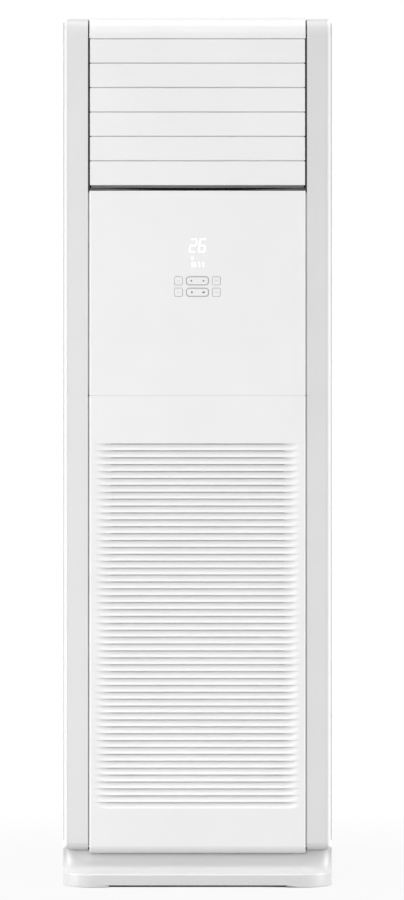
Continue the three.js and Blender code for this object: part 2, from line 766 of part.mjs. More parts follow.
function intakePanel() {
  const [bottom, top] = [intakeBottom, lowerSeam];
  const path = (inset) => [[faceY + inset, top],
    ...arc([faceY + bottomRadius, bottom + bottomRadius], [bottomRadius - inset, bottomRadius - inset],
      180, curlEnd, 5)];
  const skin = common(prism('x', [...path(0), ...path(wall).reverse()], -faceHalfWidth, faceHalfWidth),
    roundedFace([bottom - overlap, top]));
  const sideBottom = intakePivotHeight - hubRadius;
  const sideBack = faceY + returnDepth;
  const side = [[faceY + wall / 2, top], [faceY + wall / 2, sideBottom + hubRadius],
    [faceY + intakePivotDepth - hubRadius, sideBottom], [sideBack, sideBottom], [sideBack, top]];
  const innerX = faceHalfWidth - wall;
  const sides = [-faceHalfWidth, innerX].map((low) => common(prism('x', side, low, low + wall),
    roundedFace([bottom, top])));
  const lip = box([-innerX - overlap, innerX + overlap], [faceY + wall / 2, faceY + lipDepth],
    [top - wall, top]);
  const grilleX = slotHalfLength + slotRunOut + wall;
  const grilleLow = slotTop - slotCount * slotPitch - grilleBorder;
  const grille = box([-grilleX, grilleX], [faceY + wall / 2, faceY + grilleWall],
    [grilleLow, slotTop + grilleBorder]);
  const slots = Array.from({ length: slotCount }, (_, i) => slot(slotTop - i * slotPitch));
  const pinPlace = [faceY + intakePivotDepth, intakePivotHeight];
  const pinEnd = postInnerX + wall;
  return join(cut(join(skin, grille, lip, ...sides), ...slots),
    rod('x', pinPlace, intakePinRadius, [innerX, pinEnd], 12),
    rod('x', pinPlace, intakePinRadius, [-pinEnd, -innerX], 12));
}

// Louver: a blade with an ear and an axle at each end, and a crank inside the left post
function louver(row) {
  const [y, z] = [louverY, louverZ(row)];
  const face = faceY;
  const back = (half) => face + half;
  const tip = louverHalf - louverRound;
  const blade = [
    ...arc([face + louverRound, z + tip], [louverRound, louverRound], 180, 90, 3),
    [back(louverEdge), z + louverHalf - louverRound / 2],
    [back(louverMiddle), z + louverHalf / 3], [back(louverMiddle), z - louverHalf / 3],
    [back(louverEdge), z - louverHalf + louverRound / 2],
    ...arc([face + louverRound, z - tip], [louverRound, louverRound], 270, 180, 3),
  ];
  const ear = [[back(louverEdge / 2), z + 2 * hubRadius],
    ...arc([y, z], [hubRadius, hubRadius], 90, -90, 6), [back(louverEdge / 2), z - 2 * hubRadius]];
  const crankX = -postInnerX - crankOffset;
  const pinPlace = crankPin(row);
  const arm = [...arc([y, z], [crankRadius, crankRadius], crankAngle + 90, crankAngle + 270, 5),
    ...arc(pinPlace, [crankRadius, crankRadius], crankAngle - 90, crankAngle + 90, 5)];
  return join(
    prism('x', blade, -louverX, louverX),
    prism('x', ear, -louverX, earWidth - louverX),
    prism('x', ear, louverX - earWidth, louverX),
    rod('x', [y, z], axleRadius, [louverX - overlap, postInnerX + wall + touchGap], 10),
    rod('x', [y, z], axleRadius, [crankX, overlap - louverX], 10),
    prism('x', arm, crankX - crankPlate, crankX),
    rod('x', pinPlace, linkPinRadius, [crankX - crankPlate - linkPlate - 2 * touchGap, crankX - overlap], 8));
}

function crankPin(row) {
  const angle = THREE.MathUtils.degToRad(crankAngle);
  return [louverY + crankReach * Math.cos(angle), louverZ(row) + crankReach * Math.sin(angle)];
}

function louverLink() {
  const [y, top] = crankPin(0);
  const [, bottom] = crankPin(louverCount - 1);
  const half = linkWidth / 2;
  const outline = [...arc([y, top], [half, half], 0, 180, 5), ...arc([y, bottom], [half, half], 180, 360, 5)];
  const right = -postInnerX - crankOffset - crankPlate - touchGap;
  const through = [right - linkPlate - overlap, right + overlap];
  return cut(prism('x', outline, right - linkPlate, right), ...louverRows.map((row) =>
    rod('x', crankPin(row), linkPinRadius + touchGap, through, 8)));
}

function stepper(axis, centre, [from, to]) {
  const corner = stepperLug / 2 - 0.1;
  const lug = roundedRect(centre, stepperLug, 2 * (stepperRadius + stepperReach), corner, 2);
  return rod(axis, centre, stepperRadius, [from, to], 18)
    .add(prism(axis, lug, from, from + stepperFlange));
}

function louverMotor() {
  const middle = louverZ(Math.floor(louverCount / 2));
  const from = postInnerX + wall + 2 * touchGap;
  return stepper('x', [louverY + stepperOffset, middle], [from, from + stepperLength]);
}

// Outlet duct: two side walls that carry the axles, a floor and a ceiling that carry the vanes
function ductSide() {
  const side = box([ductInnerX, postInnerX - touchGap], [faceY + lipDepth, ductBackY],
    [ductFloorTop + touchGap, ceilingBottom - touchGap]);
  const through = [ductInnerX - overlap, postInnerX + overlap];
  return cut(side, ...louverRows.map((row) =>
    rod('x', [louverY, louverZ(row)], axleRadius + touchGap, through, 8)));
}

const vaneX = (column) => (column - (vaneCount - 1) / 2) * vanePitch;
const vaneColumns = Array.from({ length: vaneCount }, (_, column) => column);
const vaneLinkBottom = ductFloorTop + linkGap;
const vaneBottom = vaneLinkBottom + linkPlate + linkGap;

function ductPlateSolid(low, front) {
  const plate = box([touchGap - postInnerX, postInnerX - touchGap], [front, ductBackY],
    [low, low + ductPlate]);
  const through = [low - overlap, low + ductPlate + overlap];
  return cut(plate, ...vaneColumns.map((column) =>
    rod('z', [vaneX(column), vaneY], vanePinRadius + touchGap, through, 10)));
}

const outletFloor = () => ductPlateSolid(ductFloorTop - ductPlate, faceY + lipDepth + touchGap);
const outletCeiling = () => ductPlateSolid(ceilingBottom, faceY + wall + touchGap);

function vane(column) {
  const x = vaneX(column);
  const top = ceilingBottom - touchGap - linkGap;
  const half = vaneThickness / 2;
  const nose = vaneChord / 2 - half;
  const section = [...arc([x, vaneY + nose], [half, half], 0, 180, 4),
    ...arc([x, vaneY - nose], [half, half], 180, 360, 4)];
  const boss = (from, to) => rod('z', [x, vaneY], vanePinRadius, [from, to], 10);
  return join(prism('z', section, vaneBottom, top),
    boss(ductFloorTop - ductPlate, vaneBottom + overlap), boss(top - overlap, ceilingBottom + ductPlate),
    rod('z', [x, vaneY + vaneCrank], linkPinRadius, [vaneLinkBottom - touchGap, vaneBottom + overlap], 8));
}

function vaneLink() {
  const half = linkWidth / 2;
  const y = vaneY + vaneCrank;
  const end = vaneX(vaneCount - 1);
  const outline = [...arc([end, y], [half, half], -90, 90, 5), ...arc([-end, y], [half, half], 90, 270, 5)];
  const through = [vaneLinkBottom - overlap, vaneLinkBottom + linkPlate + overlap];
  return cut(prism('z', outline, vaneLinkBottom, vaneLinkBottom + linkPlate), ...vaneColumns.map((column) =>
    rod('z', [vaneX(column), y], linkPinRadius + touchGap, through, 8)));
}

function vaneMotor() {
  const seat = ceilingBottom + ductPlate + touchGap;
  return stepper('z', [vaneX(Math.floor(vaneCount / 2)), vaneY], [seat, seat + stepperLength]);
}

// Fan: scroll housing, inlet bell, wheel, shaft, bracket and motor
const flipped = (outline) => outline.map(([x, z]) => [z, x]);
const tongueX = fanX + (wheelRadius + tongueGap) * Math.cos(THREE.MathUtils.degToRad(tongueAngle));

// The spiral of the scroll, from the outlet round to the tongue, with the outlet's neck
function scrollOutline(inset, top) {
  const small = wheelRadius + tongueGap - inset;
  const neckX = tongueX - (scrollWall - inset);
  const sweep = 2 * Math.PI - Math.acos((neckX - fanX) / small);
  const steps = 26;
  const spiral = Array.from({ length: steps + 1 }, (_, i) => {
    const radius = small + scrollGrowth * (1 - i / steps);
    return [fanX + radius * Math.cos(sweep * i / steps), fanZ - radius * Math.sin(sweep * i / steps)];
  });
  return flipped([[scrollLargeX - inset, top], ...spiral, [neckX, top]]);
}

function scrollHousing() {
  const top = partitionHeight - touchGap;
  const legs = [-1, 1].map((side) => {
    const x = fanX + side * bellRadius;
    return box([x - scrollLegWidth / 2, x + scrollLegWidth / 2],
      [scrollFront + overlap, scrollBack - overlap], [footHeight + plinthFloor + touchGap, fanZ]);
  });
  const [front, back] = [scrollFront + scrollWall, scrollBack - scrollWall];
  return cut(join(prism('y', scrollOutline(0, top), scrollFront, scrollBack), ...legs),
    prism('y', scrollOutline(scrollWall, top + overlap), front, back),
    rod('y', [fanZ, fanX], bellRadius + bellClear, [scrollFront - overlap, front + overlap], 28),
    rod('y', [fanZ, fanX], hubOuter * 2, [back - overlap, scrollBack + overlap], 24));
}

function inletBellmouth() {
  const [mouth, seat] = [scrollFront - bellDepth, scrollFront - touchGap];
  const neck = scrollFront + scrollWall + bellWall / 2;
  const crest = bellRadius + bellLip / 2;
  const profile = [
    [bellRadius + bellLip, seat - bellWall], [bellRadius + bellLip, seat], [bellRadius, seat],
    [bellRadius, neck], [bellRadius - bellWall, neck], [bellRadius - bellWall, seat - bellWall - bellRim],
    [bellRadius, mouth + bellRound], [crest, mouth], [crest + bellWall, mouth + bellRim],
    [bellRadius + bellWall, seat - bellWall]];
  return turned('y', [fanZ, fanX], [...profile, profile[0]], 28);
}

function fanWheel() {
  const centre = [fanZ, fanX];
  const [front, back] = [wheelBack - wheelWidth, wheelBack];
  const disc = rod('y', centre, wheelRadius, [back - wheelPlate, back], 40);
  const hub = rod('y', centre, hubOuter, [back - hubLength, back - overlap], 20);
  const ring = cut(rod('y', centre, wheelRadius, [front, front + wheelRing], 40),
    rod('y', centre, wheelRadius - wheelBladeDepth + ringOverhang,
      [front - overlap, front + wheelRing + overlap], 40));
  const blades = Array.from({ length: wheelBlades }, (_, i) => {
    const turn = i * 360 / wheelBlades;
    const middle = wheelRadius - wheelBladeDepth / 2;
    const angle = THREE.MathUtils.degToRad(turn);
    const at = [fanZ + middle * Math.sin(angle), fanX + middle * Math.cos(angle)];
    const from = 90 - turn + bladeLean;
    const inner = bladeCurve - wheelBladeThickness;
    const outline = [...arc(at, [bladeCurve, bladeCurve], from, from + bladeSweep, 2),
      ...arc(at, [inner, inner], from + bladeSweep, from, 2)];
    return prism('y', outline, front + overlap, back - overlap);
  });
  return cut(join(disc, hub, ring, ...blades),
    rod('y', centre, shaftRadius + touchGap, [back - hubLength - overlap, back + overlap], 16));
}

const bracketFront = scrollBack + touchGap;
const motorFront = bracketFront + bracketPlate + touchGap;
const fanShaft = () => rod('y', [fanZ, fanX], shaftRadius,
  [wheelBack - shaftReach, motorFront + motorLength / 2], 16);

function motorBracket() {
  const centre = [fanZ, fanX];
  const back = bracketFront + bracketPlate;
  const outline = roundedRect(centre, 2 * bracketHalf, 2 * bracketHalf, bracketCorner);
  return cut(prism('y', outline, bracketFront, back),
    rod('y', centre, shaftRadius * 2, [bracketFront - overlap, back + overlap], 16));
}

function fanMotor() {
  const back = motorFront + motorLength;
  const end = motorRadius * motorEndShare;
  const profile = [[0, motorFront], [end, motorFront], [motorRadius, motorFront + motorFrontRound],
    [motorRadius, back - motorBackRound], [end, back], [0, back]];
  return cut(turned('y', [fanZ, fanX], profile, 28), rod('y', [fanZ, fanX], shaftRadius + touchGap,
    [motorFront - overlap, motorFront + motorLength / 2 + overlap], 16));
}

// Partition between the fan chamber and the coil chamber, and the baffle in front of the coil
const innerSideX = shellInnerX - touchGap;

function partition() {
  const [front, back] = [webBackY + touchGap, backY - sheet - touchGap];
  const x = innerSideX;
  const outline = [[-x, front], [x, front], [x, back - backCorner], [x - backCorner, back],
    [backCorner - x, back], [-x, back - backCorner]];
  const plate = prism('z', outline, partitionHeight, partitionTop);
  const through = [partitionHeight - overlap, partitionTop + overlap];
  return cut(plate,
    box([tongueX, scrollLargeX - scrollWall], [scrollFront + scrollWall, scrollBack - scrollWall], through),
    ...pipeRuns.map(({ x, radius }) => rod('z', [x, pipeY], radius + pipeClear, through, 12)),
    rod('z', [spigotX, panY], spigotRadius + 2 * touchGap, through, 12));
}

const frontBaffle = () => box([-innerSideX, innerSideX],
  [webBackY + touchGap, webBackY + touchGap + partitionPlate],
  [partitionTop + touchGap, ductFloorTop - ductPlate - touchGap]);

const panFront = webBackY + touchGap + partitionPlate + panFrontGap;
const panY = panFront + panDepth / 2;
const panFloor = partitionTop + touchGap + panWall;
const spigotX = coilHalfWidth + spigotSide;
const spigotEnd = partitionHeight - spigotLength;

function drainPan() {
  const halfX = coilHalfWidth + panSide;
  const y = [panFront, panFront + panDepth];
  const outer = box([-halfX, halfX], y, [partitionTop + touchGap, partitionTop + touchGap + panHeight]);
  const hollow = box([panWall - halfX, halfX - panWall], [y[0] + panWall, y[1] - panWall],
    [panFloor, panFloor + panHeight]);
  const spigot = rod('z', [spigotX, panY], spigotRadius, [spigotEnd, panFloor - overlap / 2], 14);
  const bore = rod('z', [spigotX, panY], spigotRadius - panWall,
    [spigotEnd - overlap, panFloor + overlap], 14);
  return cut(join(cut(outer, hollow), spigot), bore);
}

// The coil leans back: across its thickness and up along its face, from the middle of its foot
const lean = THREE.MathUtils.degToRad(coilLean);
const coilFootY = panY - coilSetback;
const coilFootZ = panFloor + touchGap + (coilThickness / 2 + coilEndMargin) * Math.sin(lean);
const coilTop = ductFloorTop - ductPlate - coilHeadroom;
const coilLength = (coilTop - coilFootZ) / Math.cos(lean);
const onCoil = (across, up) => [coilFootY + across * Math.cos(lean) + up * Math.sin(lean),
  coilFootZ - across * Math.sin(lean) + up * Math.cos(lean)];

function evaporator() {
  const half = coilThickness / 2;
  const slab = ([near, far], [low, high]) =>
    [onCoil(near, low), onCoil(far, low), onCoil(far, high), onCoil(near, high)];
  const whole = [0, coilLength];
  const endSpan = [-half - coilEndMargin, half + coilEndMargin];
  const grooveFaces = [[-half - overlap, -coilCore / 2], [coilCore / 2, half + overlap]];
  const grooveHeight = [coilEndPlate, coilLength - coilEndPlate];
  const fins = Math.floor(2 * coilHalfWidth / finPitch);
  const grooves = Array.from({ length: fins }, (_, i) => (i + 0.5 - fins / 2) * finPitch).flatMap((x) =>
    grooveFaces.map((face) => prism('x', slab(face, grooveHeight),
      x - (finPitch - finThickness) / 2, x + (finPitch - finThickness) / 2)));
  const [backTopY, backTopZ] = onCoil(half, coilLength);
  const seal = box([-coilHalfWidth, coilHalfWidth], [backTopY - sealOverlap, backY - sheet - touchGap],
    [backTopZ - 2 * sealThickness, backTopZ - sealThickness]);
  const bends = Array.from({ length: bendCount }, (_, i) => {
    const place = onCoil(0, coilLength * (i + 0.5) / bendCount);
    return prism('x', roundedRect(place, bendWidth, bendHeight, bendCorner, 2),
      -coilHalfWidth - bendWidth, overlap - coilHalfWidth);
  });
  return join(cut(prism('x', slab([-half, half], whole), -coilHalfWidth, coilHalfWidth), ...grooves),
    prism('x', slab(endSpan, whole), -coilHalfWidth, coilEndPlate - coilHalfWidth),
    prism('x', slab(endSpan, whole), coilHalfWidth - coilEndPlate, coilHalfWidth),
    seal, ...bends);
}

// Electric box between the posts, its lid and the terminal block in it
const boxBack = webBackY - touchGap;
const boxFront = boxBack - boxDepth;
const boxBottom = midSeamHeight + boxRise;
const boxTop = sillHeight - boxDrop;

function electricBox() {
  const x = postInnerX - touchGap;
  const outer = box([-x, x], [boxFront, boxBack], [boxBottom, boxTop]);
  return cut(outer, box([boxSheet - x, x - boxSheet], [boxFront - overlap, boxBack - boxSheet],
    [boxBottom + boxSheet, boxTop - boxSheet]));
}

function electricBoxLid() {
  const x = postInnerX - touchGap;
  const back = boxFront - touchGap;
  const rib = (place) => box([place - lidRib / 2, place + lidRib / 2],
    [back - boxSheet - lidRibRise, back - boxSheet / 2], [boxBottom + lidRibInset, boxTop - lidRibInset]);
  return join(box([-x, x], [back - boxSheet, back], [boxBottom, boxTop]), rib(-x / 2), rib(x / 2));
}

function terminalBlock() {
  const back = boxBack - boxSheet - touchGap;
  const low = boxBottom + boxSheet + touchGap;
  const front = back - terminalDepth;
  const right = postInnerX - terminalInset;
  const block = box([right - terminalWidth, right], [front, back], [low, low + terminalHeight]);
  const slots = Array.from({ length: terminalCount }, (_, i) => {
    const at = right - terminalWidth * (i + 0.5) / terminalCount;
    return box([at - terminalGroove / 2, at + terminalGroove / 2],
      [front - overlap, front + terminalGrooveDepth],
      [low + terminalFloor, low + terminalHeight + overlap]);
  });
  return cut(block, ...slots);
}

// Refrigerant pipes, drain hose, grommet and gland
const pipeRuns = [
  { name: 'gas_pipe', x: pipeX, radius: gasRadius, join: gasJoin,
    exitX: grommetX + gasExitX, exitZ: grommetZ + gasExitZ },
  { name: 'liquid_pipe', x: pipeX - pipeSpacing, radius: liquidRadius, join: liquidJoin,
    exitX: grommetX + liquidExitX, exitZ: grommetZ + liquidExitZ },
];
const hoseExit = [grommetX, grommetZ + hoseExitZ];

// The last points of a run, straight out through the back
const throughBack = (x, z) => [backY - exitRun, backY - exitRun / 2, backY, halfDepth - exitEnd]
  .map((y) => [x, y, z]);

function pipe({ x, radius, exitX, exitZ, join: rise }) {
  const startX = coilHalfWidth + touchGap;
  const z = partitionTop + rise;
  const [y] = onCoil(0, (z - coilFootZ) / Math.cos(lean));
  return tube([
    [startX, y, z], [startX + pipeStub, y, z], [x, y + pipeBend / 2, z],
    [x, pipeY - pipeBend, z], [x, pipeY, z - pipeBend], [x, pipeY, partitionTop + pipeStraight],
    [x, pipeY, partitionHeight - pipeStraight], [x, pipeY, exitZ + pipeFall],
    [exitX, pipeY, exitZ + pipeBend], ...throughBack(exitX, exitZ),
  ], radius);
}

function drainHose() {
  const sideX = shellInnerX - hoseRadius - hoseSide;
  const [exitX, exitZ] = hoseExit;
  return tube([
    [spigotX, panY, spigotEnd - touchGap], [spigotX, panY, spigotEnd - hoseStub],
    [sideX, panY + hoseTurn, spigotEnd - hoseTurnFall], [sideX, panY + hoseSlope, spigotEnd - hoseSlopeFall],
    [sideX, panY + hoseRear, spigotEnd - hoseRearFall],
    [sideX - hoseRadius, panY + hoseLow, spigotEnd - hoseLowFall],
    [exitX + hoseTurn, pipeY, exitZ + hoseLift], ...throughBack(exitX, exitZ),
  ], hoseRadius);
}

function pipeGrommet() {
  const centre = [grommetZ, grommetX];
  const seat = backY + touchGap;
  const flange = rod('y', centre, grommetRadius + grommetFlange, [seat, seat + grommetPlate], 20);
  const body = rod('y', centre, grommetRadius, [backY - sheet - grommetDepth, seat + overlap], 20);
  const through = [backY - exitRun / 2, backY + exitRun / 2];
  const holes = pipeRuns.map(({ exitX, exitZ, radius }) =>
    rod('y', [exitZ, exitX], radius + pipeClear, through, 12));
  return cut(join(flange, body), ...holes,
    rod('y', [...hoseExit].reverse(), hoseRadius + pipeClear, through, 12));
}

function cableGland() {
  const centre = [glandZ, glandX];
  const seat = backY + touchGap;
  const nut = rod('y', centre, glandRadius + glandFlange, [seat, seat + glandNut], 6);
  const dome = rod('y', centre, glandRadius, [seat + glandNut - overlap, halfDepth - glandEnd], 16);
  const body = rod('y', centre, glandRadius, [backY - glandThread, seat + overlap], 16);
  return cut(join(nut, dome, body),
    rod('y', centre, glandBore, [backY - glandThread - overlap, halfDepth + overlap], 14));
}

// Filter: a frame with ribs and a mesh, lifted out of the rails on the posts
function airFilter() {
  const halfX = postInnerX - runGap;
  const y = [faceY + filterDepth, faceY + filterDepth + filterThickness];
  const middle = (y[0] + y[1]) / 2;
  const frame = box([-halfX, halfX], y, [filterBottom, filterTop]);
  const cellOf = (length, count) => (length - 2 * filterBorder - (count - 1) * filterRib) / count;
  const cellX = cellOf(2 * halfX, filterColumns);
  const cellZ = cellOf(filterTop - filterBottom, filterRows);
  const windows = Array.from({ length: filterColumns * filterRows }, (_, i) => {
    const x = filterBorder - halfX + (i % filterColumns) * (cellX + filterRib);
    const z = filterBottom + filterBorder + Math.floor(i / filterColumns) * (cellZ + filterRib);
    return box([x, x + cellX], [y[0] - overlap, y[1] + overlap], [z, z + cellZ]);
  });
  return join(cut(frame, ...windows), box([filterRib - halfX, halfX - filterRib],
    [middle - filterMesh / 2, middle + filterMesh / 2], [filterBottom + filterRib, filterTop - filterRib]));
}

// Assembly
add('base_plinth', basePlinth(), 'postGrey');

for (const [name, make, finish] of [
  ['side_panel', sidePanel, 'sideWhite'],
  ['upper_post', upperPost, 'postGrey'],
  ['lower_post', lowerPost, 'postGrey'],
  ['duct_wall', ductSide, 'ductGrey'],
]) {
  const right = geometryOf(make());
  addMesh(`right_${name}`, right, finish);
  addMesh(`left_${name}`, mirrored(right), finish);
}

add('back_panel', backPanel(), 'sideWhite');
add('top_plate', topPlate(), 'sideWhite');
add('top_cap', topCap(), 'panelWhite');
add('wall_bracket', wallBracket(), 'galvanised');

add('display_panel', displayPanel(), 'panelWhite');
add('display_board', displayBoard(), 'board');
for (const [row, z] of keyRows.entries()) {
  add(`${keyNames[row]}_left_key`, key(-1, z), 'keyWhite');
  add(`${keyNames[row]}_rocker_key`, key(0, z), 'keyWhite');
  add(`${keyNames[row]}_right_key`, key(1, z), 'keyWhite');
}

for (const row of louverRows) add(`louver_${row + 1}`, louver(row), 'panelWhite');
add('louver_link', louverLink(), 'innerPlastic');
add('louver_motor', louverMotor(), 'steel');

for (const column of vaneColumns) add(`vane_${column + 1}`, vane(column), 'innerPlastic');
add('vane_link', vaneLink(), 'innerPlastic');
add('vane_motor', vaneMotor(), 'steel');
add('outlet_floor', outletFloor(), 'ductGrey');
add('outlet_ceiling', outletCeiling(), 'ductGrey');

add('evaporator', evaporator(), 'fin');
add('drain_pan', drainPan(), 'innerPlastic');
add('partition', partition(), 'galvanised');
add('front_baffle', frontBaffle(), 'galvanised');
for (const run of pipeRuns) add(run.name, pipe(run), 'copper');
add('drain_hose', drainHose(), 'hose');
add('pipe_grommet', pipeGrommet(), 'rubber');
add('cable_gland', cableGland(), 'rubber');

add('scroll_housing', scrollHousing(), 'galvanised');
add('inlet_bellmouth', inletBellmouth(), 'galvanised');
add('fan_wheel', fanWheel(), 'innerPlastic');
add('fan_shaft', fanShaft(), 'steel');
add('motor_bracket', motorBracket(), 'galvanised');
add('fan_motor', fanMotor(), 'motorBlack');

add('intake_panel', intakePanel(), 'panelWhite');
add('air_filter', airFilter(), 'mesh');

add('electric_box', electricBox(), 'galvanised');
add('electric_box_lid', electricBoxLid(), 'galvanised');
add('terminal_block', terminalBlock(), 'motorBlack');

export default group;
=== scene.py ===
import json
import math

import bmesh
import bpy
from mathutils import Matrix, Vector

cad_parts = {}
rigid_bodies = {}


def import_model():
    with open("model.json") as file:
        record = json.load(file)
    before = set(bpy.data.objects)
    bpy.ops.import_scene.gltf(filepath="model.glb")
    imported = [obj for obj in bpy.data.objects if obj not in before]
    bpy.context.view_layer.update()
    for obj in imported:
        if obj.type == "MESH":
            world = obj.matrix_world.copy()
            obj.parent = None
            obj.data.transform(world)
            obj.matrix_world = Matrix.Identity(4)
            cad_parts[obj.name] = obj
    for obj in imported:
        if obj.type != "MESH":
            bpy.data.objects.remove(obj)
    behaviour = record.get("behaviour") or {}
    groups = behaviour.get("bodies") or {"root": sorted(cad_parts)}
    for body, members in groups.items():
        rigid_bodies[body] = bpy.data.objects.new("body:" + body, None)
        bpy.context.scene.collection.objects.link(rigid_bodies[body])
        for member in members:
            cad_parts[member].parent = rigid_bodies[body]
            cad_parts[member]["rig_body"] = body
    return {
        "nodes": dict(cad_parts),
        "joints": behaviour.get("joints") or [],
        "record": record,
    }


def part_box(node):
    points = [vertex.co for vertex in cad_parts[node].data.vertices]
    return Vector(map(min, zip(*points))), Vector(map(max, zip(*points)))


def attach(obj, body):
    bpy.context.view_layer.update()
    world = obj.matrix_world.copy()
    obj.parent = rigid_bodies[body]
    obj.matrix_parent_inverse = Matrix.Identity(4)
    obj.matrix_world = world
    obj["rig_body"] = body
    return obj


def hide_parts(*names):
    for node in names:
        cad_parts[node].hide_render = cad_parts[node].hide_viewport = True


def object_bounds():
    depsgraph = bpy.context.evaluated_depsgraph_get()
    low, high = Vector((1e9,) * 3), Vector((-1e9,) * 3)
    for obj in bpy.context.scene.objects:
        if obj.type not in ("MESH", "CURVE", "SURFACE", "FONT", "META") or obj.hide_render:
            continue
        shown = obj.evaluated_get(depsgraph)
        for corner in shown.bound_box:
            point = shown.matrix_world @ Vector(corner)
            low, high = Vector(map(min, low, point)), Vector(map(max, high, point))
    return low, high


# Floor standing air conditioner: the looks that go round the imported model.
# Metres, Z up, the front faces -Y. Sizes come from the model's own boxes.

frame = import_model()
nodes = frame["nodes"]
cadLow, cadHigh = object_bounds()
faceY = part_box("display_panel")[0].y
mm = 0.001
white = (1, 1, 1, 1)
print("frame loaded:", len(nodes), "nodes")


def linked(obj):
    bpy.context.scene.collection.objects.link(obj)
    return obj


def newObject(name, bm):
    mesh = bpy.data.meshes.new(name)
    bm.to_mesh(mesh)
    bm.free()
    return linked(bpy.data.objects.new(name, mesh))


# Material tools

def addNode(owner, kind, inputs=None, **settings):
    # in a material or world; an input is a plain value or the output of another node
    node = owner.node_tree.nodes.new("ShaderNode" + kind)
    for key, value in settings.items():
        setattr(node, key, value)
    for socket, value in (inputs or {}).items():
        if isinstance(value, bpy.types.NodeSocket):
            owner.node_tree.links.new(value, node.inputs[socket])
        else:
            node.inputs[socket].default_value = value
    return node


def rgba(tone):
    return (*tone, 1) if isinstance(tone, tuple) else (tone, tone, tone, 1)


def shaderOf(made):
    return made.node_tree.nodes["Principled BSDF"]


def newFinish(name, tone, roughness, metallic=0.0, specular=0.5):
    made = bpy.data.materials.new(name)
    made.use_nodes = True
    shader = shaderOf(made)
    shader.inputs["Base Color"].default_value = rgba(tone)
    shader.inputs["Roughness"].default_value = roughness
    shader.inputs["Metallic"].default_value = metallic
    shader.inputs["Specular IOR Level"].default_value = specular
    made.diffuse_color = rgba(tone)
    return made


def rangeOf(owner, value, low, high, start=0.3, end=0.7):
    inputs = {"Value": value, "From Min": start, "From Max": end, "To Min": low, "To Max": high}
    return addNode(owner, "MapRange", inputs).outputs[0]


# Camera, floor and lamps

view = {
    "x": 0.0097,
    "height": 0.9387,
    "distance": 9.0,  # in front of the centre panels
    "lens": 167.67,
}

room = {
    "floorHalf": 18.0,
    "floorDrop": 0.4 * mm,
    "floorTone": 0.34,
    "shadowReach": 0.75,  # how far round the unit the floor keeps its full shadow
    "shadowFade": 1.0,
    "shadowShare": 0.08,
    "ambient": (0.3, 0.42),  # at the horizon and straight above
}

lamps = [
    # name, place, height it aims at, size, watts
    ("frontLamp", (-2.3, -5.6, 1.2), 0.95, 3.0, 58),
    ("leftLamp", (-4.4, -1.3, 1.1), 0.95, 2.0, 90),
    ("rightLamp", (4.5, -1.0, 1.1), 0.95, 2.2, 110),
    ("leftFootLamp", (-1.7, -0.38, 0.14), 0.04, 0.4, 4.5),
    ("rightFootLamp", (1.7, -0.38, 0.14), 0.04, 0.4, 3.5),
    ("backLamp", (-1.2, 4.4, 2.2), 0.95, 2.4, 40),
]

skyLamps = [
    # name, strength, elevation, degrees to the left, degrees across so that its shadows are soft
    ("windowLamp", 0.62, 24, 12, 24),
    ("ceilingLamp", 1.5, 84, 0, 32),
]


def makeCamera():
    data = bpy.data.cameras.new("camera")
    data.lens = view["lens"]
    data.clip_end = 60
    camera = linked(bpy.data.objects.new("camera", data))
    camera.location = (view["x"], faceY - view["distance"], view["height"])
    camera.rotation_euler = (math.pi / 2, 0, 0)
    bpy.context.scene.camera = camera


def hang(name, kind, energy, place, aim, axis):
    data = bpy.data.lights.new(name, kind)
    data.energy = energy
    lamp = linked(bpy.data.objects.new(name, data))
    lamp.location = place
    lamp.rotation_euler = aim.to_track_quat(axis, "Y").to_euler()
    return data


def makeLamps():
    for name, place, aimHeight, size, watts in lamps:
        aim = Vector((0, 0, aimHeight)) - Vector(place)
        hang(name, "AREA", watts, place, aim, "-Z").size = size
    for name, strength, elevation, fromLeft, across in skyLamps:
        up, side = math.radians(elevation), math.radians(fromLeft)
        toLamp = Vector((-math.sin(side) * math.cos(up), -math.cos(side) * math.cos(up), math.sin(up)))
        hang(name, "SUN", strength, (0, 0, 0), toLamp, "Z").angle = math.radians(across)


def greater(owner, first, second):
    return addNode(owner, "Math", {0: first, 1: second}, operation="MAXIMUM").outputs[0]


def seenRays(owner):
    # 1 for camera, glossy and transmission rays, 0 for the light that falls on the unit
    rays = addNode(owner, "LightPath").outputs
    seen = greater(owner, rays["Is Camera Ray"], rays["Is Glossy Ray"])
    return greater(owner, seen, rays["Is Transmission Ray"])


def makeWorld():
    world = bpy.data.worlds.new("paleRoom")
    bpy.context.scene.world = world
    world.use_nodes = True
    world.node_tree.nodes.clear()
    split = addNode(world, "SeparateXYZ", {0: addNode(world, "TexCoord").outputs["Generated"]})
    climb = rangeOf(world, split.outputs["Z"], *room["ambient"], 0.0, 1.0)
    light = addNode(world, "Background", {"Color": white, "Strength": climb})
    seen = addNode(world, "Background", {"Color": white, "Strength": 1.0})
    mix = addNode(world, "MixShader", {0: seenRays(world), 1: light.outputs[0], 2: seen.outputs[0]})
    addNode(world, "OutputWorld", {0: mix.outputs[0]})


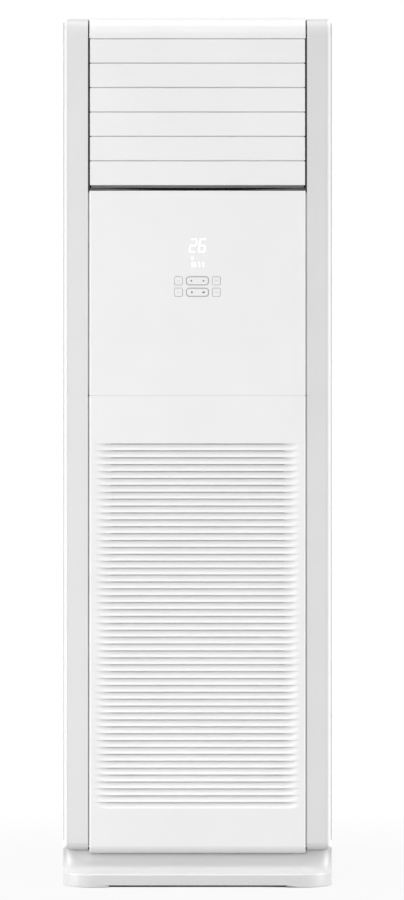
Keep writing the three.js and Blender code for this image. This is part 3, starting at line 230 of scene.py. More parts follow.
def makeFloor():
    bm = bmesh.new()
    bmesh.ops.create_grid(bm, x_segments=1, y_segments=1, size=room["floorHalf"])
    bmesh.ops.translate(bm, verts=bm.verts, vec=(0, 0, cadLow.z - room["floorDrop"]))
    floor = newObject("floor", bm)
    made = newFinish("paleFloor", room["floorTone"], 0.9, specular=0.1)
    place = addNode(made, "TexCoord").outputs["Object"]
    away = addNode(made, "VectorMath", {0: place}, operation="LENGTH").outputs["Value"]
    reach = room["shadowReach"]
    fade = rangeOf(made, away, 1 - room["shadowShare"], 1.0, reach, reach + room["shadowFade"])
    seen = addNode(made, "Math", {0: seenRays(made), 1: fade}, operation="MULTIPLY")
    glow = addNode(made, "Emission")
    mix = addNode(made, "MixShader", {0: seen.outputs[0], 1: shaderOf(made).outputs[0], 2: glow.outputs[0]})
    made.node_tree.links.new(mix.outputs[0], made.node_tree.nodes["Material Output"].inputs["Surface"])
    floor.data.materials.append(made)


bpy.context.scene.view_settings.view_transform = "Standard"
makeCamera()
makeLamps()
makeWorld()
makeFloor()
print("camera, lamps and floor made")


# Finishes. A fine pattern is in metres, so a scale of 700 is a grain of about 1.4 mm.

def placeOf(made, stretch=(1, 1, 1)):
    place = addNode(made, "TexCoord").outputs["Object"]
    return addNode(made, "Mapping", {"Vector": place, "Scale": stretch}).outputs["Vector"]


def noiseAt(made, scale, detail=2.0, stretch=(1, 1, 1)):
    inputs = {"Scale": scale, "Detail": detail, "Vector": placeOf(made, stretch)}
    return addNode(made, "TexNoise", inputs).outputs["Fac"]


def bandsAt(made, scale, direction, distortion=0.0):
    inputs = {"Scale": scale, "Distortion": distortion, "Detail": 1.0, "Vector": placeOf(made)}
    return addNode(made, "TexWave", inputs, wave_type="BANDS", bands_direction=direction).outputs["Fac"]


def shadesAt(made, scale, detail=2.0):
    return rangeOf(made, noiseAt(made, scale, detail), 0.0, 1.0)


def drive(made, socket, value):
    made.node_tree.links.new(value, shaderOf(made).inputs[socket])


def colourBy(made, share, low, high):
    mix = addNode(made, "Mix", {0: share, 6: rgba(low), 7: rgba(high)}, data_type="RGBA")
    drive(made, "Base Color", mix.outputs[2])


def roughBy(made, share, low, high, start=0.3, end=0.7):
    drive(made, "Roughness", rangeOf(made, share, low, high, start, end))


def raiseBy(made, share, height):
    bump = addNode(made, "Bump", {"Strength": 1.0, "Distance": height, "Height": share})
    drive(made, "Normal", bump.outputs[0])


def mouldedFinish(name, tone, roughness=0.34, grain=900, height=0.000012, spread=0.012, specular=0.5):
    # moulded plastic: a fine grain, broad faint shades and slightly uneven gloss
    made = newFinish(name, tone, roughness, specular=specular)
    colourBy(made, shadesAt(made, 7.0), tone * (1 - spread), tone * (1 + spread))
    roughBy(made, noiseAt(made, 35.0, 3.0), roughness - 0.04, roughness + 0.05)
    raiseBy(made, noiseAt(made, grain, 3.0), height)
    return made


def recessShadeFinish(name, tone, roughness, paintedShade):
    # moulded plastic with painted shade: its colour is darker high up in the recess under the panels, where
    # they shade it
    made = mouldedFinish(name, tone, roughness, 1100, 0.00001, 0.006)
    low, high, share = paintedShade
    split = addNode(made, "SeparateXYZ", {0: placeOf(made)})
    shade = rangeOf(made, split.outputs["Z"], 1.0, share, low, high)
    colour = shaderOf(made).inputs["Base Color"].links[0].from_socket
    dim = addNode(made, "Mix", {0: 1.0, 6: colour, 7: shade}, data_type="RGBA", blend_type="MULTIPLY")
    drive(made, "Base Color", dim.outputs[2])
    return made


def powderFinish():
    made = newFinish("powderWhite", 0.87, 0.42, specular=0.45)
    colourBy(made, shadesAt(made, 5.0), 0.86, 0.88)
    roughBy(made, noiseAt(made, 30.0, 3.0), 0.38, 0.47)
    raiseBy(made, noiseAt(made, 1300, 4.0), 0.00003)
    return made


def galvanisedFinish():
    # zinc spangle: flat crystals a few millimetres across, each with its own tone
    made = newFinish("galvanised", 0.62, 0.42, metallic=0.9)
    cells = addNode(made, "TexVoronoi", {"Scale": 120.0, "Randomness": 1.0, "Vector": placeOf(made)})
    grey = addNode(made, "RGBToBW", {0: cells.outputs["Color"]}).outputs[0]
    colourBy(made, grey, 0.48, 0.74)
    roughBy(made, grey, 0.32, 0.55, 0.0, 1.0)
    raiseBy(made, noiseAt(made, 260, 3.0), 0.00002)
    return made


def brushedFinish(name, tone, roughness):
    made = newFinish(name, tone, roughness, metallic=1.0)
    lines = noiseAt(made, 45.0, 5.0, (1, 1, 40))
    colourBy(made, rangeOf(made, lines, 0.0, 1.0), tone * 0.86, tone * 1.1)
    roughBy(made, lines, roughness - 0.08, roughness + 0.12)
    raiseBy(made, lines, 0.00002)
    return made


def finFinish():
    # the thin fins between the modelled ones show as bright lines 1.6 mm apart; the dark between the lines is
    # painted shade in the gaps
    made = newFinish("coilFins", 0.7, 0.38, metallic=0.9)
    fins = bandsAt(made, 196.0, "X", 0.15)
    colourBy(made, fins, 0.16, 0.78)
    roughBy(made, noiseAt(made, 60.0, 3.0), 0.3, 0.5)
    raiseBy(made, fins, 0.0004)
    return made


def copperFinish():
    made = newFinish("copperTube", (0.72, 0.36, 0.22), 0.3, metallic=1.0)
    tarnish = rangeOf(made, noiseAt(made, 28.0, 5.0), 0.0, 1.0, 0.35, 0.75)
    colourBy(made, tarnish, (0.78, 0.4, 0.25), (0.38, 0.2, 0.13))
    roughBy(made, noiseAt(made, 40.0, 3.0), 0.22, 0.45)
    raiseBy(made, noiseAt(made, 500.0), 0.00002)
    return made


def boardFinish():
    # solder mask with lighter tracks along the edges of a fine cell pattern
    made = newFinish("boardGreen", (0.02, 0.16, 0.07), 0.4)
    cells = addNode(made, "TexVoronoi", {"Scale": 210.0, "Vector": placeOf(made)}, feature="DISTANCE_TO_EDGE")
    track = rangeOf(made, cells.outputs["Distance"], 1.0, 0.0, 0.02, 0.07)
    colourBy(made, track, (0.015, 0.12, 0.055), (0.06, 0.28, 0.12))
    roughBy(made, noiseAt(made, 80.0), 0.34, 0.46)
    raiseBy(made, track, 0.00004)
    return made


def rubberFinish(name, tone, ribs=None):
    made = newFinish(name, tone, 0.78, specular=0.3)
    dust = shadesAt(made, 22.0, 4.0)
    colourBy(made, dust, tone * 0.85, tone * 1.25 + 0.004)
    roughBy(made, noiseAt(made, 120.0, 3.0), 0.68, 0.88)
    if ribs:
        raiseBy(made, bandsAt(made, ribs, "Z"), 0.0008)
    else:
        raiseBy(made, noiseAt(made, 850.0, 3.0), 0.00006)
    return made


def meshFinish():
    # woven filter net: threads 1.9 mm apart both ways; the near-black between them is painted shade for the
    # openings
    made = newFinish("filterNet", 0.3, 0.8)
    threads = greater(made, bandsAt(made, 165.0, "X"), bandsAt(made, 165.0, "Z"))
    share = rangeOf(made, threads, 0.0, 1.0, 0.55, 0.95)
    colourBy(made, share, 0.03, 0.36)
    raiseBy(made, share, 0.0005)
    return made


def glowFinish(name, tone, strength):
    made = newFinish(name, tone, 0.4)
    shaderOf(made).inputs["Emission Color"].default_value = white
    drive(made, "Emission Strength", rangeOf(made, noiseAt(made, 240.0), strength * 0.96, strength))
    return made


finishes = {
    "panel_white": mouldedFinish("panelWhite", 0.865),
    "side_white": powderFinish(),
    "post_grey": mouldedFinish("postGrey", 0.7, 0.4, 1500, 0.00002),
    "key_white": mouldedFinish("keyWhite", 0.86, 0.3, 1400, 0.000008),
    "duct_black": mouldedFinish("ductBlack", 0.022, 0.62, 700, 0.00004, 0.15),
    "inner_plastic": mouldedFinish("innerPlastic", 0.36, 0.5, 600, 0.00003, 0.05),
    "galvanised": galvanisedFinish(),
    "coil_fin": finFinish(),
    "copper": copperFinish(),
    "steel": brushedFinish("turnedSteel", 0.56, 0.3),
    "motor_black": mouldedFinish("motorBlack", 0.028, 0.5, 500, 0.00005, 0.2),
    "board_green": boardFinish(),
    "rubber_black": rubberFinish("rubberBlack", 0.03),
    "hose_grey": rubberFinish("hoseGrey", 0.6, 260.0),
    "filter_mesh": meshFinish(),
    # finishes without a slot of their own
    # the plinth's grey, with painted shade high in its cove
    "plinthGreyShaded": recessShadeFinish("plinthGreyShaded", 0.69, 0.34, (34 * mm, 70 * mm, 0.74)),
    # dark grey for strips put in gaps and grooves, where it is painted shade
    "sealGrey": mouldedFinish("sealGrey", 0.17, 0.8, 900, 0.00003, 0.1, 0.2),
    # grey for the ring of painted shade round each rocker key; the pale one serves the small keys' print and
    # their ring of painted shade
    "greySeamShade": mouldedFinish("greySeamShade", 0.27, 0.5, 1200, 0.000004, 0.03),
    "paleInkAndSeamShade": mouldedFinish("paleInkAndSeamShade", 0.36, 0.5, 1200, 0.000004, 0.03),
    "darkInk": mouldedFinish("darkInk", 0.05, 0.5, 1200, 0.000004, 0.03),
    "lampWhite": glowFinish("lampWhite", 0.9, 0.5),
}
slotOf = {part["node"]: part["material_slot"] for part in frame["record"]["subparts"]}
print("finishes made:", len(finishes))


# Making tools: outlines pushed along an axis, round corners, cuts and soft edges

planeOf = {"x": (1, 2), "y": (0, 2), "z": (0, 1)}
axisOf = {"x": 0, "y": 1, "z": 2}


def onPlane(axis, u, v, along):
    place = [0.0, 0.0, 0.0]
    place[planeOf[axis][0]], place[planeOf[axis][1]], place[axisOf[axis]] = u, v, along
    return Vector(place)


def across(turn, start, end):
    # a span on the right side where turn is 1, or its mirror image where it is -1
    return sorted((turn * start, turn * end))


def rectangle(startU, startV, endU, endV):
    # starts along u
    return [(startU, startV), (endU, startV), (endU, endV), (startU, endV)]


def pushed(bm, step):
    # a flat shape becomes a closed body
    made = bmesh.ops.extrude_face_region(bm, geom=bm.faces[:])
    bmesh.ops.translate(bm, verts=[e for e in made["geom"] if isinstance(e, bmesh.types.BMVert)], vec=step)


def slicedAt(bm, place, normal, clear=False):
    bmesh.ops.bisect_plane(bm, geom=bm.verts[:] + bm.edges[:] + bm.faces[:], plane_co=place, plane_no=normal,
                           clear_inner=clear)
    return bm


def outward(bm):
    bmesh.ops.recalc_face_normals(bm, faces=bm.faces)
    return bm


def toSide(bm, turn):
    bmesh.ops.scale(bm, vec=(turn, 1, 1), verts=bm.verts)
    return outward(bm)


def roundCorner(bm, axis, vert, run, rise, steps):
    # an oval corner: the outline is squeezed until the corner is round, then let out again
    squeeze = [1.0, 1.0, 1.0]
    squeeze[planeOf[axis][0]], squeeze[planeOf[axis][1]] = 1 / run, 1 / rise
    bmesh.ops.scale(bm, vec=squeeze, verts=bm.verts)
    bmesh.ops.bevel(bm, geom=[vert], offset=1.0, offset_type="OFFSET", segments=steps, profile=0.5,
                    affect="VERTICES", material=-1)
    bmesh.ops.scale(bm, vec=[1 / s for s in squeeze], verts=bm.verts)


def prism(axis, points, low, high, rounds=None, steps=10):
    # points are (u, v); rounds is one size for all corners, or gives a size or (run, rise) by corner number
    bm = bmesh.new()
    verts = [bm.verts.new(onPlane(axis, u, v, low)) for u, v in points]
    bm.faces.new(verts)
    if isinstance(rounds, float):
        rounds = dict.fromkeys(range(len(points)), rounds)
    for index, size in (rounds or {}).items():
        run, rise = size if isinstance(size, tuple) else (size, size)
        roundCorner(bm, axis, verts[index], run, rise, steps)
    bmesh.ops.remove_doubles(bm, verts=bm.verts, dist=1e-6)
    pushed(bm, onPlane(axis, 0, 0, high - low))
    return outward(bm)


def boxBm(low, high):
    bm = bmesh.new()
    bmesh.ops.create_cube(bm, size=1.0)
    bmesh.ops.scale(bm, vec=[h - l for l, h in zip(low, high)], verts=bm.verts)
    bmesh.ops.translate(bm, vec=[(l + h) / 2 for l, h in zip(low, high)], verts=bm.verts)
    return bm


def rodBm(axis, centre, radius, low, high, sides, taper=1.0):
    bm = bmesh.new()
    bmesh.ops.create_cone(bm, cap_ends=True, segments=sides, radius1=radius, radius2=radius * taper,
                          depth=high - low)
    turn = Matrix.Rotation(math.pi / 2, 4, "Y") if axis == "x" else Matrix.Rotation(-math.pi / 2, 4, "X")
    bmesh.ops.transform(bm, matrix=turn, verts=bm.verts)
    bmesh.ops.translate(bm, vec=onPlane(axis, *centre, (low + high) / 2), verts=bm.verts)
    return outward(bm)


def meshOf(obj, keep=False):
    bm = bmesh.new()
    bm.from_mesh(obj.data)
    if not keep:
        bpy.data.objects.remove(obj)
    return bm


def merged(*shapes):
    # several closed shells in one mesh
    whole = bmesh.new()
    for shape in shapes:
        part = bpy.data.meshes.new("part")
        shape.to_mesh(part)
        shape.free()
        whole.from_mesh(part)
        bpy.data.meshes.remove(part)
    return whole


def baked(obj):
    # the modifiers so far become the mesh
    bpy.context.view_layer.update()
    mesh = bpy.data.meshes.new_from_object(obj.evaluated_get(bpy.context.evaluated_depsgraph_get()))
    obj.modifiers.clear()
    old = obj.data
    obj.data = mesh
    bpy.data.meshes.remove(old)
    return obj


def carve(obj, shape, operation="DIFFERENCE"):
    tool = newObject("tool", shape)
    cut = obj.modifiers.new("cut", "BOOLEAN")
    cut.operation = operation
    cut.solver = "EXACT"
    cut.object = tool
    baked(obj)
    old = tool.data
    bpy.data.objects.remove(tool)
    bpy.data.meshes.remove(old)
    return obj


def smoothShade(obj, angle=38):
    obj.data.polygons.foreach_set("use_smooth", [True] * len(obj.data.polygons))
    obj.data.set_sharp_from_angle(angle=math.radians(angle))
    even = obj.modifiers.new("evenShade", "WEIGHTED_NORMAL")
    even.keep_sharp = True
    return obj


def softEdges(obj, width, steps=2, angle=32):
    # small rounds on the sharp edges, then shading that follows them
    edge = obj.modifiers.new("softEdges", "BEVEL")
    edge.width = width
    edge.segments = steps
    edge.limit_method = "ANGLE"
    edge.angle_limit = math.radians(angle)
    edge.use_clamp_overlap = True
    return smoothShade(baked(obj))


def dress(obj, finish, body, *replaced, slot=None):
    # the finish becomes the piece's material; the piece joins its body and hides the nodes it replaces
    obj.data.materials.clear()
    obj.data.materials.append(finishes[finish])
    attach(obj, body)
    if replaced:
        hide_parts(*replaced)
    return obj


def trim(name, bm, finish, body, *replaced, angle=38):
    # a piece that needs no soft edges
    return dress(smoothShade(newObject(name, bm), angle), finish, body, *replaced)


def refined(node):
    # a copy of a model piece with merged triangles, soft edges and smooth shading
    bm = meshOf(nodes[node], keep=True)
    bmesh.ops.remove_doubles(bm, verts=bm.verts, dist=2e-6)
    bmesh.ops.dissolve_limit(bm, angle_limit=math.radians(0.5), verts=bm.verts, edges=bm.edges, delimit=set())
    obj = softEdges(newObject(node + ".fine", bm), 0.4 * mm)
    dress(obj, slotOf[node], nodes[node]["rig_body"], node)


# Front casing. Places come from the model's boxes and joints, wall sizes and rounds are given here.

casing = {
    "wall": 3 * mm,  # moulded panels
    "sheet": 1.2 * mm,  # painted steel
    "seam": 3.3 * mm,  # between a centre panel and the post beside it
    "edge": 3 * mm,  # round of a centre panel's upright edges
    "topRound": 38 * mm,
    "footRound": 18 * mm,
    "returnDepth": 20 * mm,
    "lipDepth": 8 * mm,
    "footDrop": 1.6 * mm,  # how far the front's curled foot lies under its solid's
    "sillDrop": 0.6 * mm,  # how far the display panel's visible top lies under its solid's
}
wall, footRound = casing["wall"], casing["footRound"]
lipBack, returnBack = faceY + casing["lipDepth"], faceY + casing["returnDepth"]
overlap = 0.3 * mm  # how far joined shapes run into each other
beyond = 0.3  # past the unit's sides, for the ends of a cutter
past = 0.01  # a little past a surface, for cutters too

displayLow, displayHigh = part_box("display_panel")
intakeLow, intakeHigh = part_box("intake_panel")
sideLow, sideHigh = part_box("right_side_panel")
postLow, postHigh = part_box("right_upper_post")
postInner, postOuter = postLow.x, postHigh.x
postFront, webBack = postLow.y, postHigh.y
faceHalf = postInner - casing["seam"]
midSeam = (intakeHigh.z + displayLow.z) / 2
pivotOf = {joint["child"]: Vector(joint["pos_m"]) for joint in frame["joints"]}
louverNames = sorted(n for n in nodes if n.startswith("louver_") and n[-1].isdigit())


def gridBm(columns, rows):
    # a sheet whose vertex (column, row) is moved to its place afterwards
    bm = bmesh.new()
    bmesh.ops.create_grid(bm, x_segments=columns - 1, y_segments=rows - 1, size=0.5)
    bmesh.ops.translate(bm, vec=(0.5, 0.5, 0), verts=bm.verts)
    bmesh.ops.scale(bm, vec=(columns - 1, rows - 1, 1), verts=bm.verts)
    return bm


intake = {
    "slots": 53,
    "pitch": 14.81 * mm,
    "topDrop": 102.8 * mm,  # from the panel's top to the highest slot
    "fullHalf": 186 * mm,  # half the length over which a slot has its full depth
    "runOut": 36 * mm,
    "runOutSteps": 10,
    "slope": 8 * mm,  # depth of a slot in front of its air gap
    "rise": 2.5 * mm,  # how far the gap climbs behind the slat above
    "drop": 0.6 * mm,  # from the slat's lower edge down to the gap's sill
    "lip": 1.4 * mm,  # front edge of a slat
    "nose": 0.35 * mm,
    "scoop": 1.5,  # 1 is a flat slat, more is a hollow one
    "scoopShares": (0.25, 0.5, 0.75, 0.9),
    "gridDepth": 12 * mm,
    "gridBorder": 14 * mm,
    "gridSideBorder": 3 * mm,
    "gridStep": 0.1 * mm,
    "topNose": 0.8 * mm,
    "curlTurn": 80,  # degrees
    "curlSteps": 14,
    "pivotHub": 6 * mm,
    "pinRadius": 3.5 * mm,
}


def smoothStep(share):
    return share * share * (3 - 2 * share)


def slatRows(top):
    # (depth at full share, height, rise at full share, height at the back)
    slope, nose, pitch = intake["slope"], intake["nose"], intake["pitch"]
    back, sill = top + intake["rise"], top - intake["drop"]
    low, nextBack = top - pitch + intake["lip"], back - pitch
    rows = [(0.0, top + nose, 0.0, back), (nose * 0.3, top + nose * 0.3, 0.0, back),
            (nose, top, nose * 0.3, back), (slope, top, intake["rise"], back), (slope, sill, 0.0, sill)]
    for share in intake["scoopShares"]:
        rows.append((slope * (1 - share) ** intake["scoop"], sill + (low - sill) * share, 0.0,
                     sill + (nextBack - sill) * share))
    rows += [(nose * 0.7, low + nose, 0.0, nextBack), (nose * 0.2, low + nose * 0.2, 0.0, nextBack),
             (0.0, low - nose, 0.0, nextBack)]
    return rows


def level(height, depth=0, inGrid=False, turn=180):
    return depth, 0, height, 0, height, inGrid, turn


def intakeRows():
    # each row: depth that is the same everywhere, slot depth, height, rise, height at the back, whether it
    # is in the grid, and its turn round the foot
    top, nose, thin = intakeHigh.z, intake["topNose"], intake["gridStep"]
    rows = [level(top, wall)]
    for turn in (90, 60, 30, 0):
        angle = math.radians(turn)
        rows.append(level(top - nose * (1 - math.sin(angle)), nose * (1 - math.cos(angle))))
    highest = top - intake["topDrop"]
    border = highest + intake["gridBorder"]
    rows += [(0, 0, border + thin, 0, border, False, 180), level(border, inGrid=True)]
    for index in range(intake["slots"]):
        for depth, height, rise, back in slatRows(highest - index * intake["pitch"]):
            rows.append((0, depth, height, rise, back, True, 180))
    border = highest - intake["slots"] * intake["pitch"] - intake["gridBorder"]
    rows += [level(border, inGrid=True), (0, 0, border - thin, 0, border, False, 180)]
    curl, steps = intakeLow.z + footRound - casing["footDrop"], intake["curlSteps"]
    return rows + [level(curl, turn=180 + intake["curlTurn"] * step / steps) for step in range(steps + 1)]


def intakeColumns():
    # each column: place across, depth of the rounded edge, slot share, in the grid
    edge, right = casing["edge"], []
    for step in range(intake["runOutSteps"]):
        share = step / (intake["runOutSteps"] - 1)
        right.append((intake["fullHalf"] + intake["runOut"] * share, 0.0, smoothStep(1 - share), True))
    border = intake["fullHalf"] + intake["runOut"] + intake["gridSideBorder"]
    right += [(border, 0.0, 0.0, True), (border + intake["gridStep"], 0.0, 0.0, False)]
    for turn in range(90, -1, -18):
        angle = math.radians(turn)
        right.append((faceHalf - edge + edge * math.cos(angle), edge - edge * math.sin(angle), 0.0, False))
    return [(-x, *rest) for x, *rest in reversed(right)] + right


def intakeSheet():
    rows, columns = intakeRows(), intakeColumns()
    middle = len(columns) // 2
    bm = gridBm(len(columns), len(rows))
    gaps = []
    for face in bm.faces:
        column, row = face.calc_center_median().xy
        isGap = rows[math.floor(row)][1] == rows[math.ceil(row)][1] == intake["slope"]
        if isGap and math.floor(column) == middle - 1:
            gaps.append(face)
    bmesh.ops.delete(bm, geom=gaps, context="FACES")
    pushed(bm, (0, 0, 1))
    for vert in bm.verts:
        x, edgeDepth, share, inGridX = columns[round(vert.co.x)]
        depth, slotDepth, height, rise, backHeight, inGridZ, turn = rows[round(vert.co.y)]
        if vert.co.z > 0.5:
            depth = intake["gridDepth"] if inGridX and inGridZ else wall
            height = backHeight
            x = min(max(x, wall - faceHalf), faceHalf - wall)
        else:
            depth = max(depth, edgeDepth) + slotDepth * share
            height += rise * share
        if turn > 180:
            angle = math.radians(turn)
            radius = footRound - depth
            vert.co = (x, faceY + footRound + radius * math.cos(angle), height + radius * math.sin(angle))
        else:
            vert.co = (x, faceY + depth, height)
    bmesh.ops.remove_doubles(bm, verts=bm.verts, dist=4e-6)
    bmesh.ops.dissolve_degenerate(bm, dist=2e-6, edges=bm.edges)
    return outward(bm)


def makeIntakePanel():
    pivot, hub, top = pivotOf["intake_panel"], intake["pivotHub"], intakeHigh.z
    inside, edge = faceY + wall * 0.8, 0.2 * mm
    shapes = [intakeSheet()]
    for turn in (1, -1):
        low, high = across(turn, faceHalf, faceHalf - wall)
        outline = [(inside, top - edge), (inside, pivot.z), (pivot.y - hub, pivot.z - hub),
                   (returnBack, pivot.z - hub), (returnBack, top - edge)]
        shapes.append(prism("x", outline, low + edge / 10, high - edge / 10, {3: 4 * mm}, 5))
        low, high = across(turn, faceHalf - wall / 2, intakeHigh.x)
        shapes.append(rodBm("x", (pivot.y, pivot.z), intake["pinRadius"], low, high, 24))
    inner = faceHalf - wall * 0.8
    shapes.append(boxBm((-inner, inside, top - wall), (inner, lipBack, top - edge / 4)))
    panel = trim("intakePanel", merged(*shapes), "panel_white", "intake_panel", "intake_panel", angle=42)
    print("intake panel made:", len(panel.data.polygons), "faces")


blade = {
    "endGap": 1.2 * mm,
    "edgeDepth": 4 * mm,
    "middleDepth": 7 * mm,
    "round": 1.9 * mm,
    "backSlope": 0.9 * mm,
    "edge": 0.7 * mm,
    "lastDrop": 0.8 * mm,  # how much longer the lowest louver is
    "earWidth": 4 * mm,
    "earRound": 5 * mm,
    "earDepth": 2 * mm,  # of its front under the face
    "hub": 6 * mm,
    "axle": 3 * mm,
    "crankReach": 16 * mm,
    "crankTurn": 45,  # degrees
    "crankRound": 4.5 * mm,
    "crankPlate": 3 * mm,
    "crankGap": 1.2 * mm,
    "pin": 2 * mm,
    "tongue": (4.9 * mm, 5.9 * mm, 2.4 * mm),  # from, to, and how far it rises behind the louver above
    "tongueFoot": 4 * mm,
    "seal": (4.3 * mm, 6.3 * mm, 5.2 * mm),  # dark strip under the lowest louver that paints the shade in the gap below it
}


def louverBlade(name, pivot, top, bottom, end):
    edge, back = faceY + blade["edgeDepth"], faceY + blade["middleDepth"]
    third, slope = (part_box(name)[1].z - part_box(name)[0].z) / 6, blade["backSlope"]
    outline = [(faceY, top), (edge, top - slope), (back, pivot.z + third), (back, pivot.z - third),
               (edge, bottom + slope), (faceY, bottom)]
    whole = newObject("blade", prism("x", outline, -end, end, {0: blade["round"], 5: blade["round"]}, 7))
    softEdges(whole, blade["edge"], 3, 50).modifiers.clear()
    return meshOf(whole)


def louverCrank(pivot, crankX, back):
    # arm and pin that the link bar moves
    reach, corner, turn = blade["crankReach"], blade["crankRound"], math.radians(blade["crankTurn"])
    outline = rectangle(-corner, -corner, reach + corner, corner)
    arm = prism("x", outline, crankX - blade["crankPlate"], crankX, corner * 0.98, 6)
    bmesh.ops.rotate(arm, matrix=Matrix.Rotation(turn, 3, "X"), verts=arm.verts)
    bmesh.ops.translate(arm, vec=(0, pivot.y, pivot.z), verts=arm.verts)
    pin = (pivot.y + reach * math.cos(turn), pivot.z + reach * math.sin(turn))
    return [arm, rodBm("x", pin, blade["pin"], back, crankX - mm, 16)]


def makeLouvers():
    low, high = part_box("louver_1")
    end, hub = faceHalf - blade["endGap"], blade["hub"]
    crankX = low.x + 2 * blade["crankPlate"] + blade["crankGap"]
    near, far, rise = blade["tongue"]
    for name in louverNames:
        pivot = pivotOf[name]
        half = (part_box(name)[1].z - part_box(name)[0].z) / 2
        top = pivot.z + half
        bottom = pivot.z - half - (blade["lastDrop"] if name == louverNames[-1] else 0)
        shapes = [louverBlade(name, pivot, top, bottom, end)]
        front, back = faceY + blade["earDepth"], pivot.y + hub
        ear = [(front, pivot.z + 2 * hub), (back, pivot.z + hub),
               (back, pivot.z - hub), (front, pivot.z - 2 * hub)]
        for turn in (1, -1):
            start, stop = across(turn, end, end - blade["earWidth"])
            rounds = {1: blade["earRound"], 2: blade["earRound"]}
            shapes.append(prism("x", ear, start + overlap, stop - overlap, rounds, 7))
        for start, stop in ((end - mm, high.x), (crankX - 0.5 * mm, mm - end)):
            shapes.append(rodBm("x", (pivot.y, pivot.z), blade["axle"], start, stop, 20))
        shapes += louverCrank(pivot, crankX, low.x)
        foot = top - blade["tongueFoot"]
        tongue = [(faceY + near, foot), (faceY + far + mm, foot),
                  (faceY + far, top + rise), (faceY + near, top + rise)]
        shapes.append(prism("x", tongue, 2 * mm - end, end - 2 * mm, {2: 0.4 * mm}, 3))
        trim(name + ".fine", merged(*shapes), "panel_white", name, name, angle=35)
    # a dark strip under the lowest louver: painted shade in the gap
    near, far, fall = blade["seal"]
    seal = [(faceY + near, bottom + 2 * mm), (faceY + near, bottom - fall), (faceY + far, bottom - fall),
            (faceY + far, bottom + 3 * mm)]
    strip = prism("x", seal, 3 * mm - end, end - 3 * mm, {1: 0.8 * mm, 2: 0.8 * mm}, 4)
    trim("louverGapShade", strip, "sealGrey", louverNames[-1])
    print("louvers made")


cap = {"nose": 1.3 * mm, "endEdge": 0.7 * mm}


def makeTopCap():
    low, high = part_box("top_cap")
    radius, back, inner = casing["topRound"], high.y, faceHalf - wall
    outline = rectangle(back, high.z, low.y, low.z)
    shell = newObject("topCap", prism("x", outline, -faceHalf, faceHalf, {1: radius, 2: cap["nose"]}, 24))
    inside = rectangle(back + wall, high.z - wall, low.y + wall, low.z - wall)
    carve(shell, prism("x", inside, -inner, inner, {1: radius - wall}, 24))
    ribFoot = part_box("outlet_ceiling")[1].z + overlap
    carve(shell, boxBm((-beyond, low.y + wall, low.z - wall), (beyond, back + wall, ribFoot)))
    for turn in (1, -1):
        start, end = across(turn, faceHalf - mm, high.x)
        rib = boxBm((start, low.y + radius, ribFoot + 0.2 * mm), (end, back - wall, ribFoot + wall))
        carve(shell, rib, "UNION")
    softEdges(shell, cap["endEdge"], 3, 50)
    dress(shell, "panel_white", "cabinet", "top_cap")
    print("top cap made")


keys = {
    "gap": 0.4 * mm,  # round each cap in its hole
    "flange": 1.2 * mm,
    "smallCorner": 4 * mm,
    "rockerCorner": 7 * mm,
    "edge": 0.55 * mm,
    "smallSeamShade": 0.55 * mm,  # ring of painted shade round the edge of a small key
    # a wider ring of painted shade round a rocker key
    "rockerSeamShade": 1.15 * mm,
    "printHeight": 0.06 * mm,
}
keyNames = [f"{row}_{kind}_key" for row in ("upper", "lower") for kind in ("left", "rocker", "right")]
printFront = faceY - keys["printHeight"]


def keyShape(name, inset, low, high, steps=8):
    # the key's outline in its hole, smaller by inset on all sides
    boxLow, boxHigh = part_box(name)
    grow = keys["flange"] + inset
    corner = (keys["rockerCorner"] if "rocker" in name else keys["smallCorner"]) - inset
    points = rectangle(boxLow.x + grow, boxLow.z + grow, boxHigh.x - grow, boxHigh.z - grow)
    return prism("y", points, low, high, corner, steps)


panelFit = {
    "bottomEdge": 0.8 * mm,
    "topEdge": 1.6 * mm,
    "edge": 0.4 * mm,
    "hooks": (0.15, 0.85),  # shares of the panel's height
    "hookDepth": (8 * mm, 2 * mm),  # in front of the returns' back edges
    "hookHeight": 12 * mm,
    "bossInset": 6 * mm,
    "bossRadius": 3 * mm,
    "bossGap": 1.9 * mm,  # from the boss's end to the board's back
    "seamDepth": 0.8 * mm,  # strips behind the seams
    "seamGap": 0.15 * mm,
}


